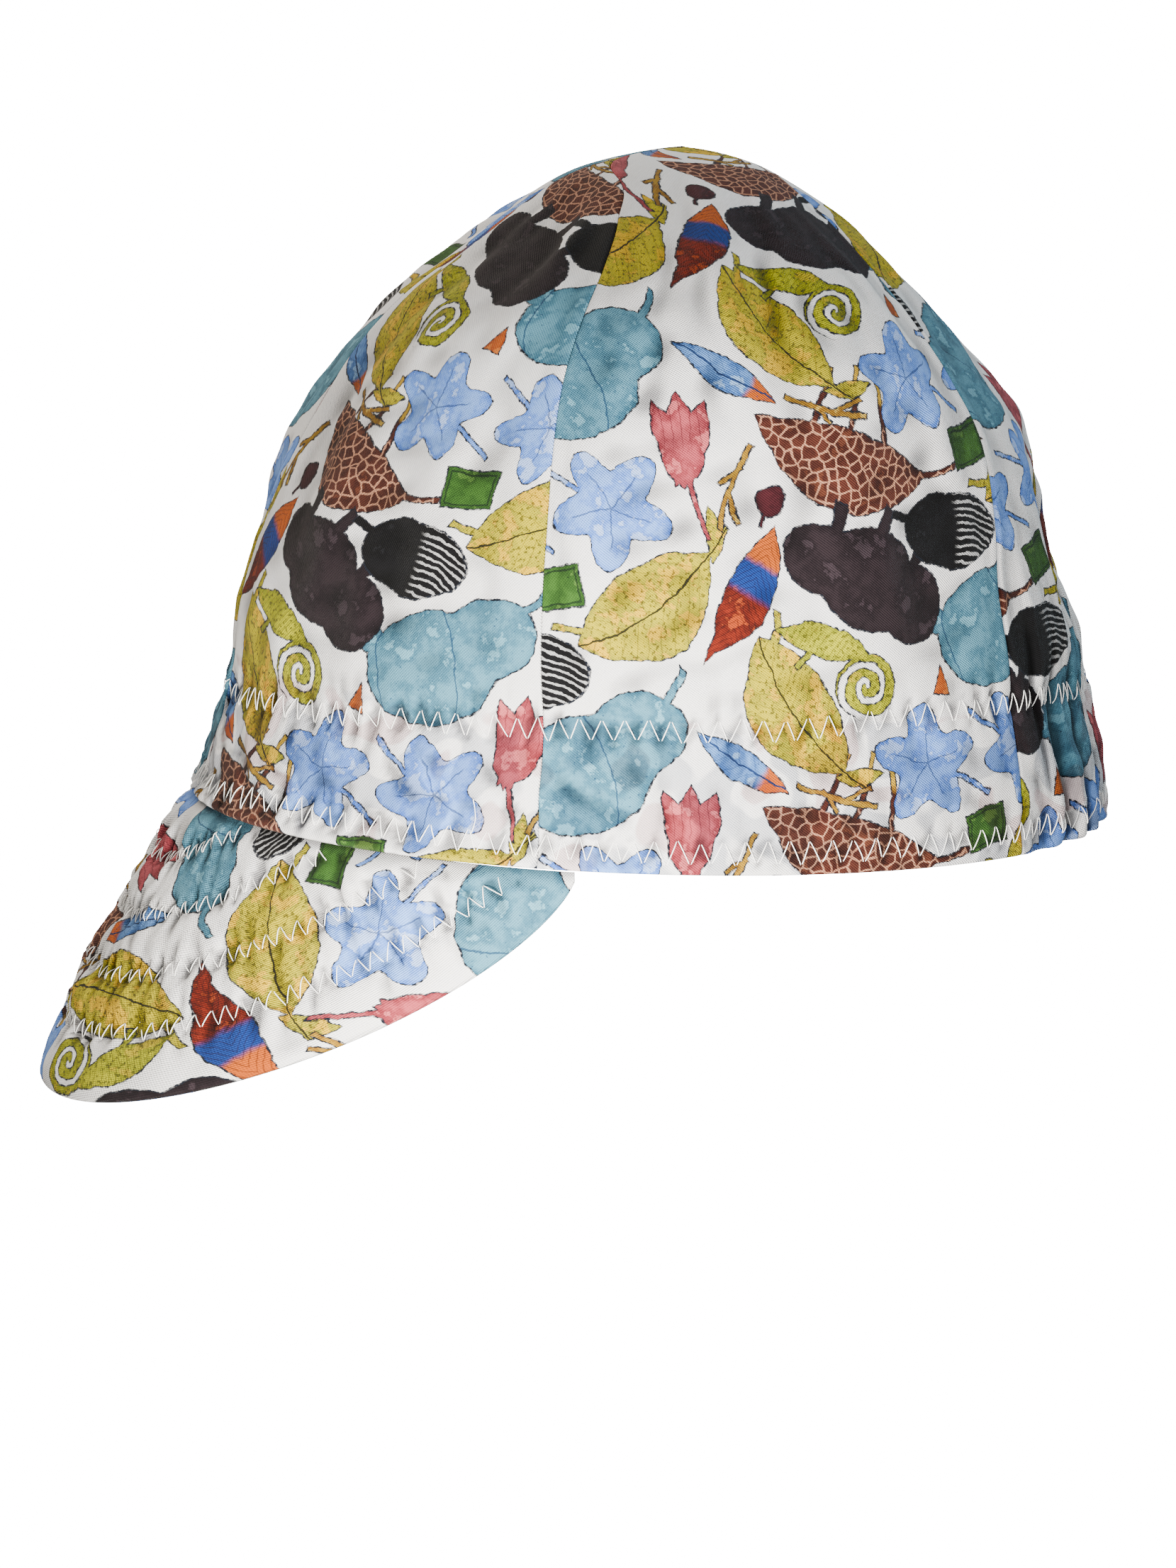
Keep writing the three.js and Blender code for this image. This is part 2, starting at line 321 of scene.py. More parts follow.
@dataclass(frozen=True)
class CrownForm:
    """Outer face of the crown as a function of an angle and a row of the table of sections.

    Attributes:
        rim_front: Reach of the hem to the front.
        rim_rear: Reach of the hem to the rear.
        rim_side: Reach of the hem to a side.
        height: Height of the crown.
        gather_depth: Depth of the deepest gather.
        seam_radius: Rounding beside a seam.
        hem_radius: Rounding of the lower edge.
        cloth: Thickness of the wall.
        hem: Thickness of the wall where the hem is folded in.
        hem_height: Height up to which it is folded in.
        hem_step: Height over which the wall thins above it.
        step: Step of the slopes, in radians and rows.
        slow_swell: Wide swells of the panels.
        quick_swell: Smaller swells of the panels.
        swell_from_seam: Distances from a seam between which swells come up.
        swell_from_hem: Heights between which swells come up.
        smooth_top: Heights between which the cloth smooths out.
        seam_ridge: Puffed line beside a seam.
        seam_waves: How its height varies.
        seam_share: Share of its height where the waves are at rest.
        rear_ridge: Turned seam allowance behind the rear seam.
        rear_ridge_from: Heights between which it comes up.
        rear_band: Angle past the rear seam over which the elastic's folds come up.
        rear_folds: Small folds that the elastic draws.
        rear_folds_start: Heights between which they come up.
        rear_folds_end: Heights between which they fade.
        band_puff: Puff of the band between its two rows.
        band_waves: How the puff varies.
        front_band: Angles between which the front band ends.
        slack: Loose cloth of the band: at the sides, and what the front has more.
        slack_waves: Its waves.
        slack_line: Place and width of it.
        slack_from_seam: Distances from a seam between which it comes up.
        pressed_crease: Crease pressed into the front band.
        hem_flare: Outward flare of the front hem over the bill.
        side_calm: Share of the puckers that the side band lacks.
        side_from: Angles between which the side band starts.
        side_to: Angles between which it ends.
        crease_share: Depth of the creases as a share of that of the puckers.
    """

    rim_front: float = 101.2
    rim_rear: float = 101.5
    rim_side: float = 83.0
    height: float = 140.5
    gather_depth: float = 1.9
    seam_radius: float = 0.55
    hem_radius: float = 0.8
    cloth: float = 1.0
    hem: float = 1.8
    hem_height: float = 31.0
    hem_step: float = 1.2
    step: float = 1e-3
    slow_swell: Swell = Swell(0.75, Waves(3, 42))
    quick_swell: Swell = Swell(0.22, Waves(5, 15))
    swell_from_seam: Span = (0, 12)
    swell_from_hem: Span = (4, 45)
    smooth_top: Span = (118, 140)
    seam_ridge: Ridge = Ridge(0.2, 1.9, 1.1)
    seam_waves: Swell = Swell(0.4, Waves(8, 11))
    seam_share: float = 0.6
    rear_ridge: Ridge = Ridge(0.32, 1.1, 0.7)
    rear_ridge_from: Span = (30, 60)
    rear_band: Span = (0.0, 0.12)
    rear_folds: Swell = Swell(0.55, Waves(31, 7.5))
    rear_folds_start: Span = (0, 3)
    rear_folds_end: Span = (34, 74)
    band_puff: Ridge = Ridge(0.22, 15, 7)
    band_waves: Swell = Swell(0.5, Waves(21, 9))
    front_band: Span = (1.0, 1.3)
    slack: Span = (0.12, 0.26)
    slack_waves: Waves = Waves(23, 10)
    slack_line: Ridge = Ridge(1.0, 15, 11)
    slack_from_seam: Span = (0, 5)
    pressed_crease: Ridge = Ridge(-0.2, 11.6, 0.7)
    hem_flare: Ridge = Ridge(0.45, 0.6, 1.7)
    side_calm: float = 0.5
    side_from: Span = (1.08, 1.2)
    side_to: Span = (2.1, 2.3)
    crease_share: float = 0.8

    def section(self, column: Column, row: Array) -> Array:
        """One column of the table at rows that needn't be whole.

        A Catmull-Rom curve runs through the rows. Below the hem the table goes straight on, and
        past the top the reaches come back with the other sign.

        Args:
            column: Which column.
            row: Rows, from 0 at the hem to TOP_ROW at the top.

        Returns:
            The column's value at each row.
        """
        table = CROWN_SECTIONS[:, column.value]
        beyond = table[-2] * (-1 if column in (Column.FRONT, Column.REAR, Column.SIDE) else 1)
        table = np.concatenate([[2 * table[0] - table[1]], table, [beyond]])
        row = np.asarray(row, float)
        start = np.clip(np.floor(row), 0, TOP_ROW - 1).astype(int)
        share = row - start
        before, here, after, last = (table[start + i] for i in range(4))
        return 0.5 * (
            2 * here
            + (after - before) * share
            + (2 * before - 5 * here + 4 * after - last) * share**2
            + (3 * here - before - 3 * after + last) * share**3
        )

    def seam(self, column: Column, row: Array) -> Array:
        """Angle of a seam at rows, on the middle seam above the row where it ends there."""
        end = CROWN_SECTIONS[SEAM_END_ROW, column.value]
        return np.radians(np.where(row >= SEAM_END_ROW, end, self.section(column, row)))

    def height_at(self, row: Array) -> Array:
        """Height above the hem at rows."""
        return self.section(Column.HEIGHT, row) * self.height

    def length_at(self, angle: Array) -> Array:
        """Length round the crown at angles, with the mean of its front and side reach."""
        return angle * (self.rim_front + self.rim_side) / 2

    def row_at(self, height: Array) -> Array:
        """Rows at heights above the hem, by interpolation in the table's curve."""
        rows = np.linspace(0, TOP_ROW, 3000)
        return np.interp(height, self.height_at(rows), rows)

    def gathers(self, angle: Array, row: Array) -> Array:
        """How far the rear gathers draw the cloth in: squared cosines that fade upwards.

        Args:
            angle: Angles round the crown.
            row: Rows of the table of sections.

        Returns:
            Distance inwards.
        """
        seam = self.seam(Column.REAR_SEAM, row)
        across = (np.abs(angle) - seam) / np.maximum(np.pi - seam, 1e-6)
        drawn = np.zeros(np.broadcast(angle, row).shape)
        for place, width, depth, top in REAR_GATHERS:
            away = np.clip(np.abs(across - place) / width, 0, 0.5)
            fade = np.maximum(0, 1 - self.section(Column.HEIGHT, row) / top)
            drawn = drawn + self.gather_depth * depth * np.cos(np.pi * away) ** 2 * fade
        return np.where((row < SEAM_END_ROW) & (across > 0), drawn, 0)

    def face(self, angle: Array, row: Array) -> Array:
        """Point of the smooth face: an oval at each height, with its own front and rear reach.

        Args:
            angle: Angles round the crown.
            row: Rows of the table of sections.

        Returns:
            Points in millimetres.
        """
        drawn = self.gathers(angle, row)
        side = self.section(Column.SIDE, row) * self.rim_side
        front = self.section(Column.FRONT, row) * self.rim_front
        rear = self.section(Column.REAR, row) * self.rim_rear
        reach = np.where(np.cos(angle) > 0, front, rear)
        x = (side - drawn) * np.sin(angle)
        y = -(reach - drawn) * np.cos(angle)
        return np.stack(np.broadcast_arrays(x, y, self.height_at(row)), -1)

    def normal(self, angle: Array, row: Array) -> Array:
        """Unit vector out of the face, from the cross product of its two slopes.

        Args:
            angle: Angles round the crown.
            row: Rows of the table of sections.

        Returns:
            Unit vectors.
        """
        row = np.clip(row, self.step, TOP_ROW - 2 * self.step)
        around = self.face(angle + self.step, row) - self.face(angle - self.step, row)
        upwards = self.face(angle, row + self.step) - self.face(angle, row - self.step)
        return unit(np.cross(around, upwards))

    def reach(self, angle: Array, row: Array) -> Array:
        """Length of face that one radian covers."""
        around = self.face(angle + self.step, row) - self.face(angle - self.step, row)
        return np.linalg.norm(around, axis=-1) / (2 * self.step)

    def seam_distance(self, angle: Array, row: Array) -> Array:
        """Distance to the nearest seam.

        Args:
            angle: Angles round the crown.
            row: Rows of the table of sections.

        Returns:
            Distance along the face.
        """
        side = np.abs(angle)
        angles = [
            side,
            np.pi - side,
            np.abs(side - self.seam(Column.FRONT_SEAM, row)),
            np.abs(side - self.seam(Column.REAR_SEAM, row)),
        ]
        return np.minimum.reduce(angles) * self.reach(angle, row)

    def relief(self, angle: Array, row: Array) -> Array:
        """How far the cloth stands off the smooth face.

        Added up are swells of the panels, the lines beside the seams, the rounded lower edge, the
        relief of the zig-zag rows and that of the band.

        Args:
            angle: Angles round the crown.
            row: Rows of the table of sections.

        Returns:
            Height above the smooth face.
        """
        angle, row = np.broadcast_arrays(np.asarray(angle, float), np.asarray(row, float))
        height = self.height_at(row)
        around = self.length_at(angle)
        seam = self.seam_distance(angle, row)
        swell = self.slow_swell.at(around, height) + self.quick_swell.at(around, height)
        out = swell * (1 - rise(height, *self.smooth_top))
        out = out * rise(seam, *self.swell_from_seam) * rise(height, *self.swell_from_hem)
        out += self.seam_relief(angle, row, seam)
        out -= rounded_off(height, self.hem_radius)
        out += self.stitch_relief(angle, around, height)
        return out + self.band_relief(angle, row, seam)

    def seam_relief(self, angle: Array, row: Array, seam: Array) -> Array:
        """Relief beside the seams: a puffed line, the rear seam's turned edge and the rounding.

        Args:
            angle: Angles round the crown.
            row: Rows of the table of sections.
            seam: Distance to the nearest seam.

        Returns:
            Height above the smooth face.
        """
        height = self.height_at(row)
        around = self.length_at(angle)
        rear_seam = np.abs(np.abs(angle) - self.seam(Column.REAR_SEAM, row)) * self.reach(angle, row)
        varied = self.seam_share + self.seam_waves.at(height, around * 0.05)
        out = self.seam_ridge.at(seam) * varied
        turned = self.rear_ridge.at(rear_seam) * rise(height, *self.rear_ridge_from)
        out += turned * (1 - rise(height, *self.smooth_top))
        return out - rounded_off(seam, self.seam_radius)

    def stitch_relief(self, angle: Array, around: Array, height: Array) -> Array:
        """Relief of the two zig-zag rows: grooves, dimples, puffs, puckers and creases.

        Args:
            angle: Angles round the crown.
            around: Length round the crown there.
            height: Height above the hem.

        Returns:
            Height above the smooth face.
        """
        side = np.abs(angle)
        calm = 1 - self.side_calm * rise(side, *self.side_from) * (1 - rise(side, *self.side_to))
        out = np.zeros(height.shape)
        for stitches in (LOWER_ROW, UPPER_ROW):
            off = height - stitches.height_at(angle)
            phase = stitches.phase_at(angle - stitches.lean(angle) * off)
            pitch = stitches.pitch_at(angle)
            pulled = (stitches.seed, around, height, off)
            out -= stitches.groove * hump(off, CROWN_ZIGZAG.groove_width)
            out += CROWN_ZIGZAG.corners(phase, pitch, off, stitches.half_height)
            folds = CROWN_ZIGZAG.puckers(*pulled) - self.crease_share * CROWN_ZIGZAG.creases(*pulled)
            out += stitches.pucker * calm * folds
        return out

    def band_relief(self, angle: Array, row: Array, seam: Array) -> Array:
        """Relief of the band: its puff, the elastic's folds, slack, a crease and the flared hem.

        Args:
            angle: Angles round the crown.
            row: Rows of the table of sections.
            seam: Distance to the nearest seam.

        Returns:
            Height above the smooth face.
        """
        height = self.height_at(row)
        around = self.length_at(angle)
        out = self.band_puff.at(height) * (1 + self.band_waves.at(around, height * 0.5))
        rear = rise(np.abs(angle) - self.seam(Column.REAR_SEAM, row), *self.rear_band)
        drawn = self.rear_folds.at(around, height * 0.16) * rear
        fading = 1 - rise(height, *self.rear_folds_end)
        out += drawn * fading * rise(height, *self.rear_folds_start)
        front = 1 - rise(np.abs(angle), *self.front_band)
        slack = self.slack_waves.at(around + height, height * 0.7) * self.slack_line.at(height)
        at_sides, in_front = self.slack
        out += (at_sides + in_front * front) * slack * rise(seam, *self.slack_from_seam)
        out += self.pressed_crease.at(height - 0.5 * np.sin(around / 9)) * front
        return out + self.hem_flare.at(height) * front

    def folded(self, height: Array) -> Array:
        """Share of the turned-in hem at heights: 1 up to where it ends, then 0."""
        return 1 - rise(height, self.hem_height - self.hem_step, self.hem_height)

    def wall(self, height: Array) -> Array:
        """Thickness of the wall at heights: the cloth, and the hem's fold where there is one."""
        return self.cloth + (self.hem - self.cloth) * self.folded(height)

    def outer(self, angle: Array, row: Array, lift: Array | float = 0.0) -> Array:
        """Point of the cloth's outer face, raised by a lift."""
        raised = self.relief(angle, row) + lift
        return self.face(angle, row) + self.normal(angle, row) * np.asarray(raised)[..., None]


# Reach of the crown where the rows run, which the stitches are counted round.
STITCHED_SIDE = 83
STITCHED_FRONT = 99


@dataclass(frozen=True)
class CrownStitches:
    """A zig-zag row that runs right round the crown.

    Attributes:
        name: Name of the piece.
        heights: Rows of degrees from the front and height of the row's middle there.
        half_height: Half the height of the zig-zag.
        pitches: Rows of degrees from the front and length of one zig-zag there.
        groove: How deep the row sinks.
        pucker: How strongly the cloth puckers along it.
        seed: Seed of its puckers and of the unevenness of its stitches.
        seam_lean: Most that the cloth's grain leans, in radians for each millimetre upwards.
    """

    name: str
    heights: tuple[tuple[float, float], ...]
    half_height: float
    pitches: tuple[tuple[float, float], ...]
    groove: float
    pucker: float
    seed: int
    seam_lean: float = 0.0018

    def height_at(self, angle: Array) -> Array:
        """Height of the row's middle at angles."""
        return np.interp(np.degrees(np.abs(angle)), *np.array(self.heights).T)

    def pitch_at(self, angle: Array) -> Array:
        """Length of one zig-zag at angles."""
        return np.interp(np.degrees(np.abs(angle)), *np.array(self.pitches).T)

    def lean(self, angle: Array) -> Array:
        """Lean of the grain at angles: it follows the seams, as minus the sine of twice the angle."""
        return -self.seam_lean * np.sin(2 * angle)

    def phase_table(self) -> tuple[Array, Array]:
        """Angles right round and the number of zig-zags up to each: length over local pitch."""
        angles = np.linspace(-np.pi, np.pi, 1441)
        oval = np.stack([STITCHED_SIDE * np.sin(angles), STITCHED_FRONT * np.cos(angles)], -1)
        lengths = np.linalg.norm(np.diff(oval, axis=0), axis=-1)
        pitch = self.pitch_at((angles[1:] + angles[:-1]) / 2)
        counted = np.concatenate([[0], np.cumsum(lengths / pitch)])
        return angles, counted * round(counted[-1]) / counted[-1]

    def phase_at(self, angle: Array) -> Array:
        """Number of zig-zags from the rear round to angles."""
        return np.interp(angle, *self.phase_table())


LOWER_ROW = CrownStitches(
    name="stitch_row_hem",
    heights=(
        (0, 3.6), (10, 3.7), (26, 5.2), (36, 4.8), (47, 4.8), (59, 4.3), (72, 4.3),
        (94, 4.5), (113, 4.7), (129, 4.9), (141, 4.9), (180, 4.6),
    ),
    half_height=2.5,
    pitches=(
        (0, 4.1), (65, 4.1), (66, 3.4), (74, 3.4), (77, 4.65), (120, 4.5), (133, 3.5), (180, 3.5),
    ),
    groove=0.34,
    pucker=0.34,
    seed=41,
)
UPPER_ROW = CrownStitches(
    name="stitch_row_band",
    heights=(
        (0, 22.6), (16, 24.2), (26, 24.6), (40, 26.5), (73, 28.2), (96, 29.2), (115, 31.5),
        (139, 31.6), (155, 29.9), (180, 29.4),
    ),
    half_height=2.5,
    pitches=((0, 4.4), (66, 4.45), (74, 5.0), (120, 4.9), (133, 3.7), (180, 3.7)),
    groove=0.42,
    pucker=0.42,
    seed=43,
)


@dataclass(frozen=True)
class BillForm:
    """Upper face of the bill as a function of an edge share and a share of its width.

    The edge share runs from -1 at the right corner to 1 at the left one. The root is an arc of
    the hem's oval, the edge half an ellipse in plan that hangs down towards the tip, and the face
    a straight line between them, bowed up in the middle.

    Attributes:
        spread: Angle of the corners round the hem.
        projection: How far the edge stands out before the hem.
        drop: How far its tip hangs under the hem.
        bow: How far the face is bowed up where its width is the bow's reach.
        bow_reach: That width.
        root_inset: How far the root lies inside the crown's face.
        gap: Gap under the hem.
        root_linear: Share of the root's angle that grows evenly; the rest grows by the square.
        forward_power: Power of the cosine by which the edge runs forwards.
        down_power: Power of the cosine by which it hangs down.
        thickness: Thickness of both layers.
        rows: Distances of the stitch rows from the edge at the corners.
        row_bulge: How much farther they lie in the middle.
        row_pitch: Length of one zig-zag.
        row_half_height: Half the height of the zig-zag.
        row_shift: Share of a zig-zag by which each row starts later than the one before.
        edge_radius: Rounding of the outer edge.
        quilting: How deep the rows sink.
        pucker: Depth of the puckers.
        crease: Depth of the sharp creases.
        pucker_seed: Seed of the first row's puckers.
        swell: Wide swells.
        puff: Height of the puffed cloth between the rows.
        puff_from_root: Distances from the root between which the quilting comes up.
        puff_from_edge: Distances from the edge between which it comes up.
        tuck: Line along which the cloth sinks under the hem.
        under_share: Share of the relief that the under face has.
        step: Step of the slopes, in shares.
    """

    spread: float = math.radians(70.5)
    projection: float = 31.7
    drop: float = 62.5
    bow: float = 1.9
    bow_reach: float = 60.0
    root_inset: float = 0.4
    gap: float = 0.3
    root_linear: float = 0.15
    forward_power: float = 1.05
    down_power: float = 0.69
    thickness: float = 2.9
    rows: tuple[float, ...] = (12.7, 25.3, 38.9, 53.1)
    row_bulge: float = 2.55
    row_pitch: float = 3.8
    row_half_height: float = 2.1
    row_shift: float = 0.31
    edge_radius: float = 1.35
    quilting: float = 1.0
    pucker: float = 0.45
    crease: float = 0.6
    pucker_seed: int = 71
    swell: Swell = Swell(0.3, Waves(61, 21))
    puff: float = 0.42
    puff_from_root: Span = (0.0, 5.0)
    puff_from_edge: Span = (0.0, 4.0)
    tuck: Ridge = Ridge(-1.1, 0.0, 2.8)
    under_share: float = 0.6
    step: float = 1e-3

    def root(self, share: Array) -> Array:
        """Point of the root: an angle that grows partly with the share, partly with its square.

        Args:
            share: Edge shares.

        Returns:
            Points in millimetres.
        """
        bent = self.root_linear * np.abs(share) + (1 - self.root_linear) * share**2
        angle = self.spread * np.sign(share) * bent
        x = (CROWN.rim_side - self.root_inset) * np.sin(angle)
        y = -(CROWN.rim_front - self.root_inset) * np.cos(angle)
        return np.stack([x, y, np.full_like(x, -self.gap)], -1)

    def edge(self, share: Array) -> Array:
        """Point of the outer edge: sine across, powers of the cosine forwards and down.

        Args:
            share: Edge shares.

        Returns:
            Points in millimetres.
        """
        corner = self.root(np.ones(1))[0]
        turn = np.abs(share) * np.pi / 2
        cosine = np.maximum(np.cos(turn), 0)
        forward = CROWN.rim_front + self.projection + corner[1]
        x = np.sign(share) * corner[0] * np.sin(turn)
        y = corner[1] - forward * cosine**self.forward_power
        return np.stack([x, y, -self.gap - self.drop * cosine**self.down_power], -1)

    def width(self, share: Array) -> Array:
        """Straight distance from the root to the edge."""
        return np.linalg.norm(self.edge(share) - self.root(share), axis=-1)

    def face(self, share: Array, down: Array) -> Array:
        """Point of the smooth upper face, bowed by 4d(1 - d) of the bow.

        Args:
            share: Edge shares.
            down: Shares of the width, from the root.

        Returns:
            Points in millimetres.
        """
        share, down = np.broadcast_arrays(np.asarray(share, float), np.asarray(down, float))
        root = self.root(share)
        edge = self.edge(share)
        width = np.linalg.norm(edge - root, axis=-1)
        bow = self.bow * 4 * down * (1 - down) * width / self.bow_reach
        outwards = unit(root * np.array([1, 1, 0]))
        across = np.cross(np.array([0.0, 0.0, 1.0]), outwards)
        up = unit(np.cross(unit(edge - root), across))
        return root + (edge - root) * down[..., None] + up * bow[..., None]

    def normal(self, share: Array, down: Array) -> Array:
        """Unit vector up out of the face, from the cross product of its two slopes.

        Args:
            share: Edge shares.
            down: Shares of the width, from the root.

        Returns:
            Unit vectors.
        """
        share, down = np.broadcast_arrays(np.asarray(share, float), np.asarray(down, float))
        share = np.clip(share, -0.998, 0.998)
        across = self.face(share + self.step, down) - self.face(share - self.step, down)
        outwards = self.face(share, down + self.step) - self.face(share, down - self.step)
        return unit(np.cross(outwards, across))

    def row_distance(self, share: Array, base: float) -> Array:
        """Distance of a stitch row from the outer edge at edge shares."""
        return base + self.row_bulge * np.cos(share * np.pi / 2)

    def row_slant(self, share: Array, base: float) -> tuple[Array, Array]:
        """How a stitch row crosses the straight lines of the face at edge shares.

        Args:
            share: Edge shares.
            base: The row's distance from the edge at the bill's corners.

        Returns:
            Change of edge share for each millimetre towards the root that keeps a point square
            to the row, and the sine of the angle between the row and the straight line.
        """
        shares = np.linspace(-0.995, 0.995, 801)
        row = self.face(shares, 1 - self.row_distance(shares, base) / self.width(shares))
        slope = np.gradient(row, shares, axis=0)
        speed = np.linalg.norm(slope, axis=-1)
        line = unit(self.edge(shares) - self.root(shares))
        cosine = (slope * line).sum(-1) / speed
        lean = np.interp(share, shares, cosine / speed)
        return lean, np.interp(share, shares, np.sqrt(1 - cosine**2))

    def along(self, share: Array) -> Array:
        """Length along the bill's middle line from its centre to edge shares."""
        shares = np.linspace(-1, 1, 801)
        line = self.face(shares, np.full_like(shares, 0.55))
        lengths = run_lengths(line)
        return np.interp(share, shares, lengths - lengths[-1] / 2)

    def phase_at(self, share: Array, number: int) -> Array:
        """Number of a row's zig-zags from the bill's centre to edge shares."""
        return self.along(share) / self.row_pitch + self.row_shift * number

    def unrolled(self, share: Array, down: Array) -> Array:
        """Place on the bill's flat cut, which the straight lines from root to edge roll out on.

        The root is laid flat step by step: its heading turns at each point by 180 degrees less
        the two angles that its steps make with the straight line there, so every strip between
        two lines keeps its shape. A place lies down that line by its share of the width.

        Args:
            share: Edge shares.
            down: Shares of the width, from the root.

        Returns:
            Places on the flat cloth in millimetres.
        """
        shares = np.sin(np.linspace(-1, 1, 1201) * np.pi / 2)
        root = self.root(shares)
        line = unit(self.edge(shares) - root)
        step = np.diff(root, axis=0)
        length = np.linalg.norm(step, axis=-1)
        along = step / length[:, None]
        ahead = np.arccos(np.clip((along * line[:-1]).sum(-1), -1, 1))
        behind = np.arccos(np.clip((-along * line[1:]).sum(-1), -1, 1))
        turn = np.pi - (ahead[1:] + behind[:-1])
        heading = np.concatenate([[0], np.cumsum(turn)])
        heading = heading - heading[len(heading) // 2]
        steps = length[:, None] * np.stack([np.cos(heading), np.sin(heading)], -1)
        flat_root = np.concatenate([np.zeros((1, 2)), np.cumsum(steps, axis=0)])
        flat_root = flat_root - flat_root[len(flat_root) // 2]
        slope = heading - ahead
        slope = np.append(slope, slope[-1])
        reach = (down * self.width(share))[..., None]
        at = [np.interp(share, shares, column) for column in (*flat_root.T, slope)]
        return np.stack(at[:2], -1) + reach * np.stack([np.cos(at[2]), np.sin(at[2])], -1)

    def relief(self, share: Array, down: Array) -> Array:
        """How far the quilted cloth stands off the smooth face.

        Between two stitch rows the cloth puffs up, along a row it sinks with a dimple at each
        corner of the zig-zag, short puckers cross the rows, and the outer edge is rounded.

        Args:
            share: Edge shares.
            down: Shares of the width, from the root.

        Returns:
            Height above the smooth face.
        """
        share, down = np.broadcast_arrays(np.asarray(share, float), np.asarray(down, float))
        width = self.width(share)
        to_edge = (1 - down) * width
        to_root = down * width
        along = self.along(share)
        inner = rise(to_root, *self.puff_from_root) * rise(to_edge, *self.puff_from_edge)
        out = self.swell.at(along, to_edge) + self.puff
        for number, base in enumerate(self.rows):
            off = to_edge - self.row_distance(share, base)
            lean, sine = self.row_slant(share, base)
            phase = self.phase_at(np.clip(share - lean * off, -1, 1), number)
            pulled = (self.pucker_seed + number, along, off, off)
            out -= self.quilting * hump(off, BILL_ZIGZAG.groove_width)
            out += BILL_ZIGZAG.corners(phase, self.row_pitch, -off * sine, self.row_half_height)
            out += self.pucker * BILL_ZIGZAG.puckers(*pulled)
            out -= self.crease * BILL_ZIGZAG.creases(*pulled)
        return out * inner + self.tuck.at(to_root) - rounded_off(to_edge, self.edge_radius)

    def outer(self, share: Array, down: Array, lift: Array | float = 0.0) -> Array:
        """Point of the quilted upper face, raised by a lift."""
        raised = self.relief(share, down) + lift
        return self.face(share, down) + self.normal(share, down) * np.asarray(raised)[..., None]

    def under(self, share: Array, down: Array, lift: Array | float = 0.0) -> Array:
        """Point of the quilted under face, lowered by a lift.

        Args:
            share: Edge shares.
            down: Shares of the width, from the root.
            lift: How far the point is lowered.

        Returns:
            Points in millimetres.
        """
        edge = rounded_off((1 - np.asarray(down)) * self.width(share), self.edge_radius)
        raised = self.under_share * self.relief(share, down) - (1 - self.under_share) * edge
        depth = self.thickness + raised + lift
        return self.face(share, down) - self.normal(share, down) * np.asarray(depth)[..., None]


CROWN = CrownForm()
BILL = BillForm()


def closed_shell(outer: Array, inner: Array) -> tuple[Array, Array]:
    """Closed wall between two skins on the same grid.

    Args:
        outer: Outer skin, rows by columns by 3, anticlockwise as seen from outside.
        inner: Inner skin on the same grid.

    Returns:
        Points and quads: two skins and four strips that join their borders.
    """
    rows, columns = outer.shape[:2]
    over = np.arange(rows * columns).reshape(rows, columns)
    below = over + rows * columns

    def quads(*corners: Array) -> Array:
        """Quads from four arrays of corners."""
        return np.stack(corners, -1).reshape(-1, 4)

    faces = [
        quads(over[:-1, :-1], over[:-1, 1:], over[1:, 1:], over[1:, :-1]),
        quads(below[:-1, :-1], below[1:, :-1], below[1:, 1:], below[:-1, 1:]),
        quads(over[:-1, 0], over[1:, 0], below[1:, 0], below[:-1, 0]),
        quads(over[:-1, -1], below[:-1, -1], below[1:, -1], over[1:, -1]),
        quads(over[0, :-1], below[0, :-1], below[0, 1:], over[0, 1:]),
        quads(over[-1, :-1], over[-1, 1:], below[-1, 1:], below[-1, :-1]),
    ]
    points = np.concatenate([outer.reshape(-1, 3), inner.reshape(-1, 3)])
    return points, np.concatenate(faces)


def swept_threads(paths: Array, squares: Array, radii: Array, sides: int = 6) -> tuple[Array, Array]:
    """Closed tubes swept along many short paths at once.

    A ring at each point is the path's point plus the radius times cosine along the cloth's square
    vector and sine across it, and two quads close each end.

    Args:
        paths: Paths by points by 3.
        squares: Vectors square to the cloth at the same points.
        radii: Radius at each point of a path.
        sides: Corners of a ring, six.

    Returns:
        Points and quads of all tubes.
    """
    count, steps = paths.shape[:2]
    heading = unit(np.gradient(paths, axis=1))
    across = unit(np.cross(heading, squares))
    up = np.cross(across, heading)
    turn = np.linspace(0, 2 * np.pi, sides, endpoint=False)
    ring = up[:, :, None] * np.cos(turn)[:, None] + across[:, :, None] * np.sin(turn)[:, None]
    points = paths[:, :, None] + ring * radii[None, :, None, None]
    corner = np.arange(steps * sides).reshape(steps, sides)
    after = np.roll(corner, -1, axis=1)
    walls = np.stack([corner[:-1], after[:-1], after[1:], corner[1:]], -1).reshape(-1, 4)
    first, last = corner[0], corner[-1]
    caps = np.array([first[[0, 3, 2, 1]], first[[0, 5, 4, 3]], last[[0, 1, 2, 3]], last[[0, 3, 4, 5]]])
    one = np.concatenate([walls, caps])
    faces = one[None] + (np.arange(count) * steps * sides)[:, None, None]
    return points.reshape(-1, 3), faces.reshape(-1, 4)


